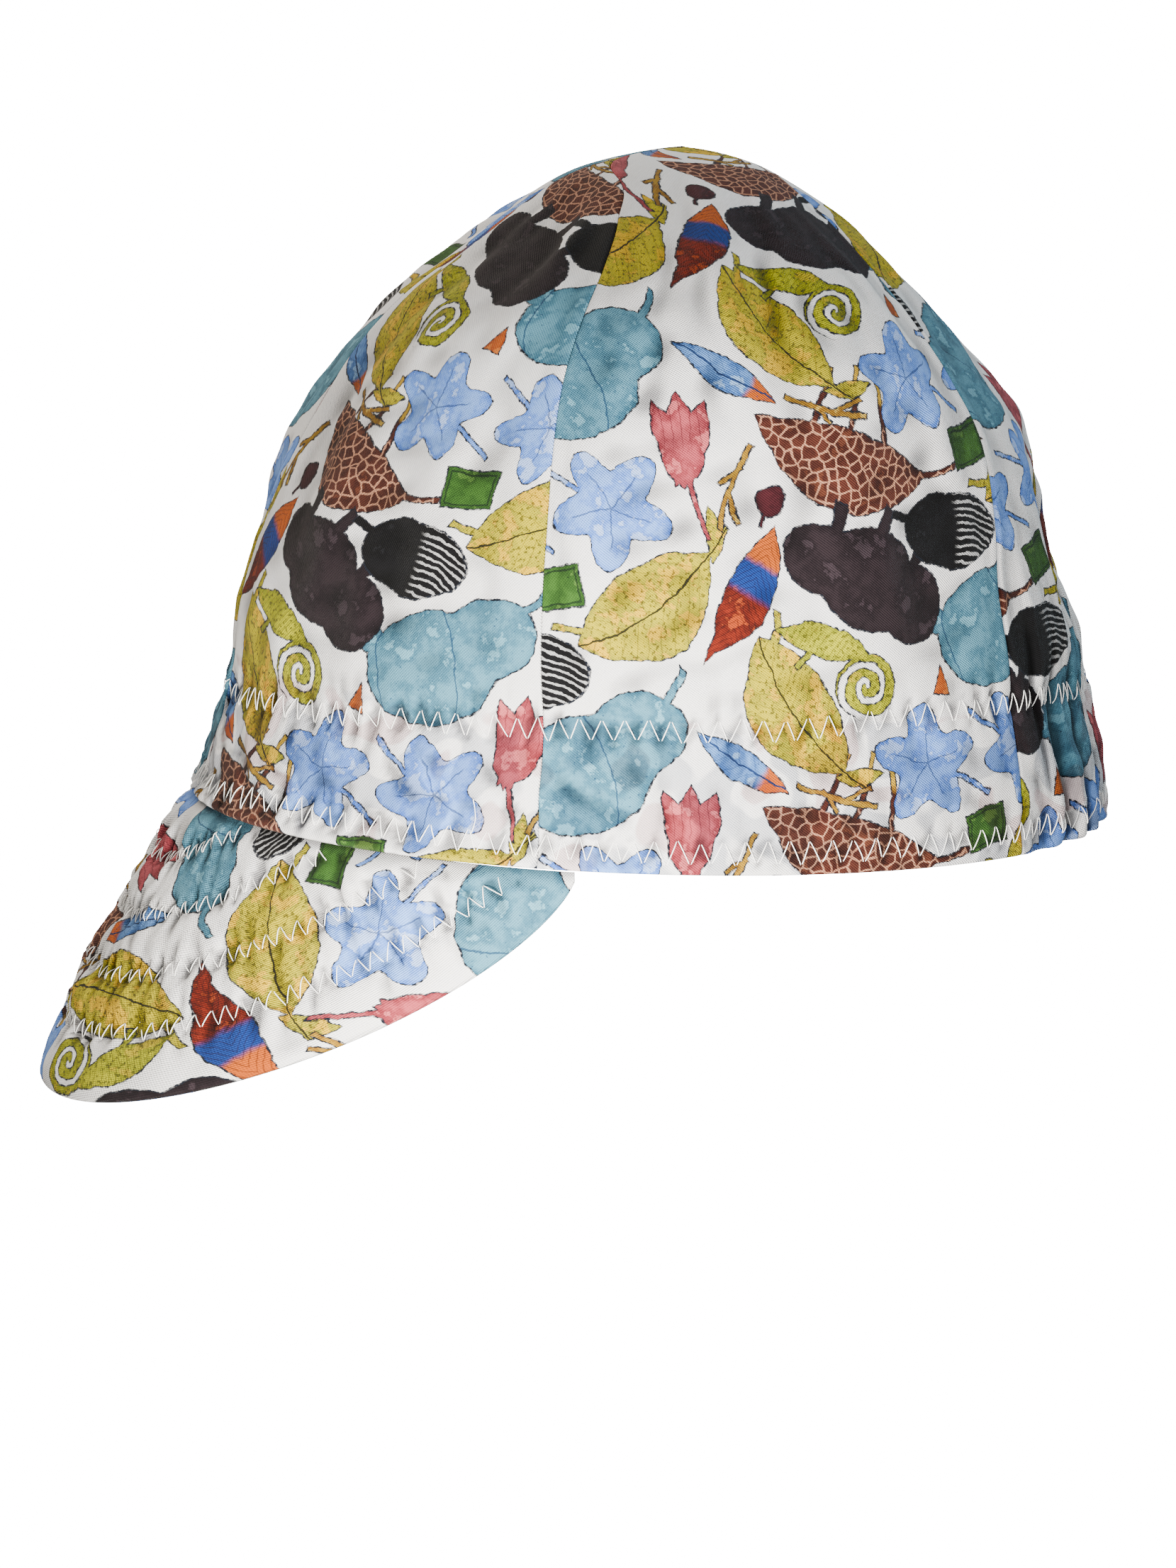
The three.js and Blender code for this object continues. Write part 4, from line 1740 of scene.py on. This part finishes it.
    def material(self) -> bpy.types.Material:
        """The finish as a material: print, weave, the folded hem's shadows, painted shade in creases and
        weave, and the weave's bump.

        Returns:
            The material.
        """
        material = new_material(
            self.name,
            {
                "Roughness": 0.9,
                "Sheen Weight": 0.02,
                "Sheen Roughness": 0.5,
                "Specular IOR Level": 0.12,
            },
        )
        sheet = NodeSheet(material.node_tree)
        shader = material.node_tree.nodes["Principled BSDF"]
        places = sheet.node("ShaderNodeAttribute", attribute_name=CLOTH_MAP)
        shrink = sheet.node("ShaderNodeVectorMath", operation="SCALE")
        sheet.link(places.outputs["Vector"], shrink.inputs[0])
        shrink.inputs["Scale"].default_value = 1 / PRINT_SCALE
        flat = shrink.outputs[0]
        parts = sheet.node("ShaderNodeSeparateXYZ")
        sheet.link(flat, parts.inputs[0])
        u, v, inside = (Value(sheet, parts.outputs[i]) for i in range(3))
        faded = inside * (self.lining_fade * PRINT_SCALE)
        colour = sheet.mix(faded, self.printed(sheet, flat), COTTON_WHITE)
        rib = sheet.math("SINE", (u + v * RIB_SLOPE) * (2 * math.pi / self.rib))
        pick = sheet.math("SINE", (u - v * PICK_SLOPE) * (2 * math.pi / (self.rib * PICK_PITCH)))
        fibres = Value(sheet, sheet.noise(flat, FIBRE_SCALE, 2.0).outputs[0])
        weave = rib * 0.6 + pick * 0.25 + fibres
        # Painted shade: where the weave and its fibres lie low, by the same height as its bump, the
        # colour is darker.
        weave_hollow_shade = weave.step(-0.6, 1.6, self.weave_shade, 0.0)
        colour = sheet.mix(weave_hollow_shade, colour, WEAVE_SHADE, "MULTIPLY")
        sheet.link(self.shaded(sheet, flat, colour), shader.inputs["Base Color"])
        bump = sheet.node("ShaderNodeBump")
        bump.inputs["Strength"].default_value, bump.inputs["Distance"].default_value = self.bump
        sheet.link(weave, bump.inputs["Height"])
        sheet.link(bump.outputs[0], shader.inputs["Normal"])
        return material


# Width and length of a flat cut, and its area, in metres.
FRONT_CUT = (0.1, 0.2, 0.0125)
SIDE_CUT = (0.105, 0.185, 0.0157)
REAR_CUT = (0.1, 0.2, 0.0115)
BILL_CUT = (0.19, 0.1, 0.0112)


@dataclass
class CrownPanel:
    """One panel of the crown: a closed wall of printed cotton between two seams.

    Attributes:
        node: Name of the solid that it replaces.
        start: Angle of its first edge at rows.
        end: Angle of its last edge at rows.
        last_row: Row at which its tip ends.
        print_offset: Where its piece of the print starts.
        print_turn: How far the cloth was turned when it was cut.
        flat: Width and length of the cut, and its area, in metres; not used.
        held: How the cloth is held; not used.
        cell: Size of a cell of its grid.
        widest_reach: Reach of the crown at the hem, by which the cells across are counted.
        seam_thinning: Most that the wall thins beside a seam.
        inside_creasing: Share of its painted crease shade that the inner skin has.
    """

    node: str
    start: Callable[[Array], Array]
    end: Callable[[Array], Array]
    last_row: float
    print_offset: Span
    print_turn: float
    flat: tuple[float, float, float]
    held: str = "stretched"
    cell: float = 1.15
    widest_reach: float = 92.0
    seam_thinning: float = 0.4
    inside_creasing: float = 0.3

    def grid(self) -> tuple[Array, Array, Array]:
        """Angles and rows of the panel's grid, and the length up its middle at each row.

        Returns:
            Angles and rows on the grid, and the length at each row.
        """
        rows = np.linspace(0, self.last_row, 2500)
        middle = (self.start(rows) + self.end(rows)) / 2
        lengths = run_lengths(CROWN.face(middle, rows))
        wanted = spaced(lengths[-1], self.cell, round_high=False) * lengths[-1]
        rows = np.interp(wanted, lengths, rows)
        hem = np.zeros(1)
        across = spaced(abs(self.end(hem) - self.start(hem))[0] * self.widest_reach, self.cell)
        start, end = self.start(rows)[:, None], self.end(rows)[:, None]
        angles = start + (end - start) * across[None]
        return angles, np.broadcast_to(rows[:, None], angles.shape), wanted

    def build(self) -> bpy.types.Object:
        """The panel's mesh: outer skin with its relief, and an inner skin one wall inside.

        Returns:
            The panel as an object.
        """
        angle, row, length = self.grid()
        outer = CROWN.outer(angle, row)
        height = CROWN.height_at(row)
        rounded = rounded_off(CROWN.seam_distance(angle, row), CROWN.seam_radius)
        wall = CROWN.wall(height) - np.minimum(rounded, self.seam_thinning)
        points, quads = closed_shell(outer, outer - CROWN.normal(angle, row) * wall[..., None])
        steps = np.linalg.norm(np.diff(CROWN.face(angle, row), axis=1), axis=-1)
        across = np.concatenate([np.zeros((len(steps), 1)), np.cumsum(steps, axis=1)], axis=1)
        across = across - across[:, -1:] / 2
        up = np.broadcast_to(length[:, None], across.shape)
        turn = math.radians(self.print_turn)
        outside = laid_flat(across, up, turn, self.print_offset).reshape(-1, 3)
        inside = outside + np.array([0, 0, 1.0])
        # Painted shade: where the cloth lies in a crease its colour is darkened, on the inner skin by a
        # share.
        painted_shade = creases(CROWN.relief(angle, row) - CROWN.gathers(angle, row)).ravel()
        shares = {
            PAINTED_SHADE_MAP: np.concatenate([painted_shade, self.inside_creasing * painted_shade]),
            FOLD_MAP: np.tile(CROWN.folded(height).ravel(), 2),
        }
        cloth = np.concatenate([outside, inside])
        return smooth_mesh(self.node + "_cloth", points, quads, cloth, shares)

    def dress(self, finish: bpy.types.Material) -> bpy.types.Object:
        """Args:
            finish: The finish.

        Returns:
            The piece.
        """
        piece = self.build()
        piece.data.materials.append(finish)
        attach(piece, BODY)
        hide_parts(self.node)
        return piece


def crown_panels() -> list[CrownPanel]:
    """The six panels of the crown, left and right.

    Returns:
        The panels.
    """
    tip = SEAM_END_ROW - 0.05

    def seam(column: Column, sign: int) -> Callable[[Array], Array]:
        """Angle of a seam on one side of the cap."""
        return lambda row: sign * CROWN.seam(column, row)

    def middle(angle: float) -> Callable[[Array], Array]:
        """Angle of the middle seam."""
        return lambda row: np.full_like(row, angle)

    front_left, front_right = seam(Column.FRONT_SEAM, 1), seam(Column.FRONT_SEAM, -1)
    rear_left, rear_right = seam(Column.REAR_SEAM, 1), seam(Column.REAR_SEAM, -1)
    front, rear_from_left, rear_from_right = middle(0), middle(np.pi), middle(-np.pi)
    side_tip = TOP_ROW - 0.02
    return [
        CrownPanel("panel_front_left", front, front_left, tip, (31, 7), 8, FRONT_CUT),
        CrownPanel("panel_front_right", front_right, front, tip, (12, 40), -8, FRONT_CUT),
        CrownPanel("panel_side_left", front_left, rear_left, side_tip, (0, 0), 0, SIDE_CUT),
        CrownPanel("panel_side_right", rear_right, front_right, side_tip, (25, 31), 0, SIDE_CUT),
        CrownPanel(
            "panel_rear_left", rear_left, rear_from_left, tip, (55, 22), -6, REAR_CUT, "gathered"
        ),
        CrownPanel(
            "panel_rear_right", rear_from_right, rear_right, tip, (70, 51), 6, REAR_CUT, "gathered"
        ),
    ]


@dataclass
class Bill:
    """The bill: two quilted layers of printed cotton that meet in a rounded edge.

    Attributes:
        cell: Size of a cell of its grid.
        columns: Number of columns of the grid.
        length: Length of its middle, by which the cells down are counted.
        end: Edge share where the layers end.
        tucked_in: Share of the width by which they reach in under the hem.
        layer: Thickness of the upper layer.
        apart: Gap between the layers.
        tuck_shade: Width of the painted shade under the hem.
        tuck_depth: Strength of that painted shade.
        flat: Width and length of a layer's cut, and its area, in metres; not used.
    """

    cell: float = 0.85
    columns: int = 261
    length: float = 68.0
    end: float = 0.995
    tucked_in: float = 0.014
    layer: float = 1.4
    apart: float = 0.1
    tuck_shade: float = 1.6
    tuck_depth: float = 0.9
    flat: tuple[float, float, float] = BILL_CUT

    def grid(self) -> tuple[Array, Array]:
        """Edge shares and width shares: corners close together, the root row last."""
        across = np.linspace(-1, 1, self.columns)
        share = self.end * np.sin(across * np.pi / 2)
        up = 1 - spaced(self.length, self.cell, round_high=False)
        return np.meshgrid(share, (1 + self.tucked_in) * up - self.tucked_in)

    def dress(self, finish: bpy.types.Material) -> list[bpy.types.Object]:
        """Args:
            finish: The finish.

        Returns:
            The two pieces.
        """
        share, down = self.grid()
        face, normal = BILL.face(share, down), BILL.normal(share, down)
        middle = face - normal * self.layer
        lower = face - normal * (self.layer + self.apart)
        layers = [
            ("bill_upper", BILL.outer(share, down), middle, (57, 30), 2.0),
            ("bill_under", lower, BILL.under(share, down), (66, 12), 0.5),
        ]
        across, up = np.moveaxis(BILL.unrolled(share, down), -1, 0)
        # Painted shade: a dark line along the root, under the hem, darkens the cloth's colour.
        painted_hem_shade = self.tuck_depth * hump(down * BILL.width(share), self.tuck_shade)
        painted_shade = np.maximum(creases(BILL.relief(share, down)), painted_hem_shade).ravel()
        shares = {PAINTED_SHADE_MAP: np.tile(painted_shade, 2)}
        pieces = []
        for node, outer, inner, offset, turn in layers:
            points, quads = closed_shell(outer, inner)
            places = np.tile(laid_flat(across, up, turn, offset).reshape(-1, 3), (2, 1))
            piece = smooth_mesh(node + "_cloth", points, quads, places, shares)
            piece.data.materials.append(finish)
            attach(piece, BODY)
            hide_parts(node)
            pieces.append(piece)
        return pieces


def thread_material() -> bpy.types.Material:
    """Glossy white sewing thread."""
    return new_material("glossy_white_thread", {"Base Color": THREAD_WHITE, "Roughness": 0.38})


@dataclass
class Stitching:
    """Zig-zag rows: each stitch is a short thread that dives into the cloth at both ends.

    Attributes:
        radius: Radius of the thread.
        sunk: How far its ends lie below the cloth.
        raised: How far its middle lies above the straight line between its ends.
        clear: How far its middle at least lies above the cloth.
        highest: Most that it lies above the cloth.
        thinned: Share by which it is thinner at its ends.
        uneven: Unevenness of the corners.
        crown_reach: Reach by which that becomes an angle.
        bill_reach: Reach by which it becomes an edge share.
        bill_seed: Seed of the first bill row's unevenness.
        bill_hidden: Distance from the hem within which a bill row isn't sewn.
        steps: Points along a stitch.
        tail_place: Degrees round from the front where a loose thread end lies.
        tail_heights: Heights of its two ends.
    """

    radius: float = 0.12
    sunk: float = 0.25
    raised: float = 0.28
    clear: float = 0.2
    highest: float = 1.2
    thinned: float = 0.25
    uneven: float = 0.16
    crown_reach: float = 95.0
    bill_reach: float = 110.0
    bill_seed: int = 90
    bill_hidden: float = 1.5
    steps: int = 9
    tail_place: float = 56.6
    tail_heights: tuple[float, float] = (5.5, 12.6)

    def lift(self, cloth: Array) -> Array:
        """How far stitches lie above the cloth that they cross.

        A stitch is pulled straight from end to end, so it bridges a crease: it follows the line
        between its two ends, bowed up by a half sine, but never dips nearer to the cloth than
        the root of a half sine times its least clearance. Its ends are sunk.

        Args:
            cloth: Height of the cloth under each point, stitches by points.

        Returns:
            Height above the cloth at the same points.
        """
        share = np.linspace(0, 1, self.steps)
        arch = np.sin(np.pi * share).clip(0)
        line = cloth[:, :1] * (1 - share) + cloth[:, -1:] * share
        taut = line - self.sunk + (self.sunk + self.raised) * np.sqrt(arch) - cloth
        least = -self.sunk + (self.sunk + self.clear) * np.sqrt(arch)
        return np.minimum(np.maximum(taut, least), self.highest)

    def radii(self) -> Array:
        """Radius along a stitch, a little thinner where it is pulled tight at its ends."""
        share = np.linspace(0, 1, self.steps)
        return self.radius * (1 - self.thinned + self.thinned * np.sin(np.pi * share).clip(0))

    def between(self, corners: Array) -> Array:
        """Values along each stitch, straight from one corner to the next."""
        share = np.linspace(0, 1, self.steps)[None]
        return corners[:-1, None] + (corners[1:] - corners[:-1])[:, None] * share

    def crown_row(self, row: CrownStitches, inside: bool) -> bpy.types.Object:
        """One row right round the crown, on its outer or inner face.

        Args:
            row: Which row.
            inside: Whether it is the inner face.

        Returns:
            The row as an object.
        """
        angles, phases = row.phase_table()
        count = 2 * round(phases[-1])
        draw = np.random.default_rng(row.seed)
        corner = np.interp(np.arange(count + 1) / 2, phases, angles)
        side = np.where(np.arange(count + 1) % 2 == 0, 1.0, -1.0)
        corner = corner + draw.normal(0, self.uneven / self.crown_reach, count + 1)
        corner[-1] = corner[0] + 2 * np.pi
        off = side * (row.half_height + draw.normal(0, self.uneven, count + 1))
        height = row.height_at(corner) + off
        corner = corner + row.lean(corner) * off
        angle = (self.between(corner) + np.pi) % (2 * np.pi) - np.pi
        tall = self.between(height)
        rows = CROWN.row_at(tall)
        lift = self.lift(CROWN.relief(angle, rows))
        lift = -CROWN.wall(tall) - lift if inside else lift
        paths = CROWN.outer(angle, rows, lift)
        points, quads = swept_threads(paths, CROWN.normal(angle, rows), self.radii())
        return smooth_mesh(f"{row.name}_inside" if inside else row.name, points, quads)

    def bill_row(self, number: int, below: bool) -> bpy.types.Object:
        """One row across the bill, on its upper or under face, to where it meets the hem.

        Args:
            number: Which row, from 0 at the edge.
            below: Whether it is the under face.

        Returns:
            The row as an object.
        """
        base = BILL.rows[number]
        shares = np.linspace(-0.98, 0.98, 1500)
        fits = BILL.row_distance(shares, base) < BILL.width(shares) - self.bill_hidden
        low, high = shares[fits].min(), shares[fits].max()
        phase = BILL.phase_at(shares, number)
        first = math.ceil(2 * np.interp(low, shares, phase))
        last = math.floor(2 * np.interp(high, shares, phase))
        numbers = np.arange(first, last + 1)
        draw = np.random.default_rng(self.bill_seed + number)
        share = np.interp(numbers / 2, phase, shares)
        share = share + draw.normal(0, self.uneven / self.bill_reach, len(numbers))
        side = np.where(numbers % 2 == 0, -1.0, 1.0)
        lean, sine = BILL.row_slant(share, base)
        off = side * (BILL.row_half_height + draw.normal(0, self.uneven, len(numbers))) / sine
        distance = BILL.row_distance(share, base) + off
        share = np.clip(share + lean * off, -0.99, 0.99)
        shares = self.between(share)
        down = 1 - np.minimum(self.between(distance) / BILL.width(shares), 1.01)
        face = BILL.under if below else BILL.outer
        stand = BILL.relief(shares, down) * (BILL.under_share if below else 1.0)
        paths = face(shares, down, self.lift(stand))
        normal = BILL.normal(shares, down) * (-1 if below else 1)
        points, quads = swept_threads(paths, normal, self.radii())
        name = f"stitch_row_bill_{'under' if below else 'upper'}_{number + 1}"
        return smooth_mesh(name, points, quads)

    def tail(self) -> bpy.types.Object:
        """A loose thread end on the front band: it rises from the hem row with a slight wave.

        Returns:
            The thread end as an object.
        """
        share = np.linspace(0, 1, 18)[None]
        bottom, top = self.tail_heights
        height = bottom + (top - bottom) * share
        angle = np.radians(self.tail_place + 0.35 * np.sin(share * 4.2))
        rows = CROWN.row_at(height)
        lift = 0.12 - 0.35 * (share < 0.02) + 0.25 * share**2
        paths = CROWN.outer(angle, rows, lift)
        radii = np.full(share.shape[1], self.radius * 0.9)
        points, quads = swept_threads(paths, CROWN.normal(angle, rows), radii)
        return smooth_mesh("stitch_tail_band", points, quads)

    def dress(self, finish: bpy.types.Material) -> list[bpy.types.Object]:
        """Args:
            finish: The finish.

        Returns:
            The pieces.
        """
        rows = [(row, inside) for row in (LOWER_ROW, UPPER_ROW) for inside in (False, True)]
        pieces = [self.crown_row(row, inside) for row, inside in rows]
        pieces.append(self.tail())
        pieces += [self.bill_row(i, below) for i in range(len(BILL.rows)) for below in (False, True)]
        for piece in pieces:
            piece.data.materials.append(finish)
            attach(piece, BODY)
        return pieces


@dataclass(frozen=True)
class PanelLight:
    """A square soft light that points at the cap.

    Attributes:
        name: Its name.
        place: Its place in metres.
        size: Its size in metres.
        power: Its power in watts.
        tint: Its colour.
    """

    name: str
    place: tuple[float, float, float]
    size: float
    power: float
    tint: Tone = WHITE

    def build(self) -> None:
        """Adds the light to the scene."""
        data = bpy.data.lights.new(self.name, "AREA")
        data.color = self.tint
        data.shape = "SQUARE"
        data.size = self.size
        data.energy = self.power
        light = bpy.data.objects.new(self.name, data)
        bpy.context.scene.collection.objects.link(light)
        light.location = self.place
        light.visible_camera = False
        towards = Vector((0, 0, 0.05)) - Vector(self.place)
        light.rotation_euler = towards.to_track_quat("-Z", "Y").to_euler()


LIGHTS = (
    PanelLight("key", (0.25, -0.1, -0.055), 0.05, 2.75, (1.0, 0.96, 0.88)),
    PanelLight("fill", (0.24, -0.02, 0.09), 0.05, 0.55),
    PanelLight("far_front", (-0.7, -0.5, 0.62), 0.4, 13, (1.0, 0.91, 0.78)),
    PanelLight("far_rear", (-0.45, 0.8, 0.62), 0.4, 8, (0.62, 0.85, 1.0)),
)


@dataclass(frozen=True)
class Studio:
    """Pale floor, soft light and the camera at the photograph's angle.

    Attributes:
        azimuth: Degrees round from the front towards the wearer's left.
        distance: Level distance of the camera from the middle of the head opening.
        above: Height of the camera over the hem's plane.
        pan: Degrees by which it looks past the middle.
        tilt: Degrees by which it looks down.
        roll: Degrees by which it leans.
        focal_share: Focal length as a share of the picture's height.
        sensor: Height of the camera's sensor.
        floor_level: Height of the floor.
        floor_reach: How far it reaches from the middle to each side.
        ambient: Strength of the world's light.
        ground_glow: How brightly floor and world look in the picture, without lighting the cap.
    """

    azimuth: float = 76.0
    distance: float = 900.0
    above: float = 177.1
    pan: float = -0.907
    tilt: float = 11.04
    roll: float = 2.62
    focal_share: float = 5894 / 2212
    sensor: float = 36.0
    floor_level: float = -220.0
    floor_reach: float = 4000.0
    ambient: float = 0.7
    ground_glow: float = 18.0

    def camera(self) -> bpy.types.Object:
        """The camera, from three turns of its level axes: pan, tilt and roll.

        Returns:
            The camera.
        """
        turns = (self.azimuth, self.pan, self.tilt, self.roll)
        azimuth, pan, tilt, roll = (math.radians(turn) for turn in turns)
        level = Vector((-math.sin(azimuth), math.cos(azimuth), 0))
        place = Vector((0, 0, self.above)) - level * self.distance
        right = Vector((math.cos(azimuth), math.sin(azimuth), 0))
        up = Vector((0, 0, 1))
        level, right = (
            level * math.cos(pan) + right * math.sin(pan),
            right * math.cos(pan) - level * math.sin(pan),
        )
        ahead = level * math.cos(tilt) - up * math.sin(tilt)
        up = up * math.cos(tilt) + level * math.sin(tilt)
        right, up = (
            right * math.cos(roll) + up * math.sin(roll),
            up * math.cos(roll) - right * math.sin(roll),
        )
        data = bpy.data.cameras.new("camera")
        data.sensor_fit = "VERTICAL"
        data.sensor_height = self.sensor
        data.lens = self.sensor * self.focal_share
        data.clip_start = 0.01
        camera = bpy.data.objects.new("camera", data)
        bpy.context.scene.collection.objects.link(camera)
        axes = Matrix((right, up, -ahead)).transposed().to_4x4()
        camera.matrix_world = Matrix.Translation(place * MM) @ axes
        bpy.context.scene.camera = camera
        return camera

    def floor(self) -> bpy.types.Object:
        """A pale floor that glows where the camera sees it, without lighting the cap.

        Returns:
            The floor.
        """
        reach, level = self.floor_reach, self.floor_level
        corners = [(-reach, -reach, level), (reach, -reach, level)]
        corners += [(reach, reach, level), (-reach, reach, level)]
        floor = smooth_mesh("floor", np.array(corners), np.array([[0, 1, 2, 3]]))
        material = new_material(
            "pale_floor",
            {
                "Base Color": FLOOR_GREY,
                "Roughness": 1.0,
                "Specular IOR Level": 0.0,
                "Emission Color": WHITE,
            },
        )
        glow = NodeSheet(material.node_tree)
        seen = Value(glow, glow.node("ShaderNodeLightPath").outputs["Is Camera Ray"])
        shader = material.node_tree.nodes["Principled BSDF"]
        glow.link(seen * self.ground_glow, shader.inputs["Emission Strength"])
        floor.data.materials.append(material)
        return floor

    def world(self) -> bpy.types.World:
        """A warm even sky, brighter where the camera sees it.

        Returns:
            The world.
        """
        world = bpy.data.worlds.new("studio")
        world.use_nodes = True
        sky = NodeSheet(world.node_tree)
        background = world.node_tree.nodes["Background"]
        sky.link(WARM_SKY, background.inputs["Color"])
        seen = Value(sky, sky.node("ShaderNodeLightPath").outputs["Is Camera Ray"])
        sky.link(seen.times_plus(self.ground_glow, self.ambient), background.inputs["Strength"])
        return world

    def build(self) -> None:
        """Floor, world, lights and camera."""
        self.floor()
        bpy.context.scene.world = self.world()
        for light in LIGHTS:
            light.build()
        self.camera()


def write_sizes() -> None:
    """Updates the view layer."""
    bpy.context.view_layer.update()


def main() -> None:
    """Builds the studio and the cap's sub-assemblies in order, and reports each piece."""
    logging.basicConfig(level=logging.INFO, format="%(message)s")
    Studio().build()
    cotton = PrintedCotton().material()
    pieces = [panel.dress(cotton) for panel in crown_panels()]
    pieces += Bill().dress(cotton)
    pieces += Stitching().dress(thread_material())
    for piece in pieces:
        log.info("%s: %d faces", piece.name, len(piece.data.polygons))
    write_sizes()


if __name__ == "__main__":
    main()
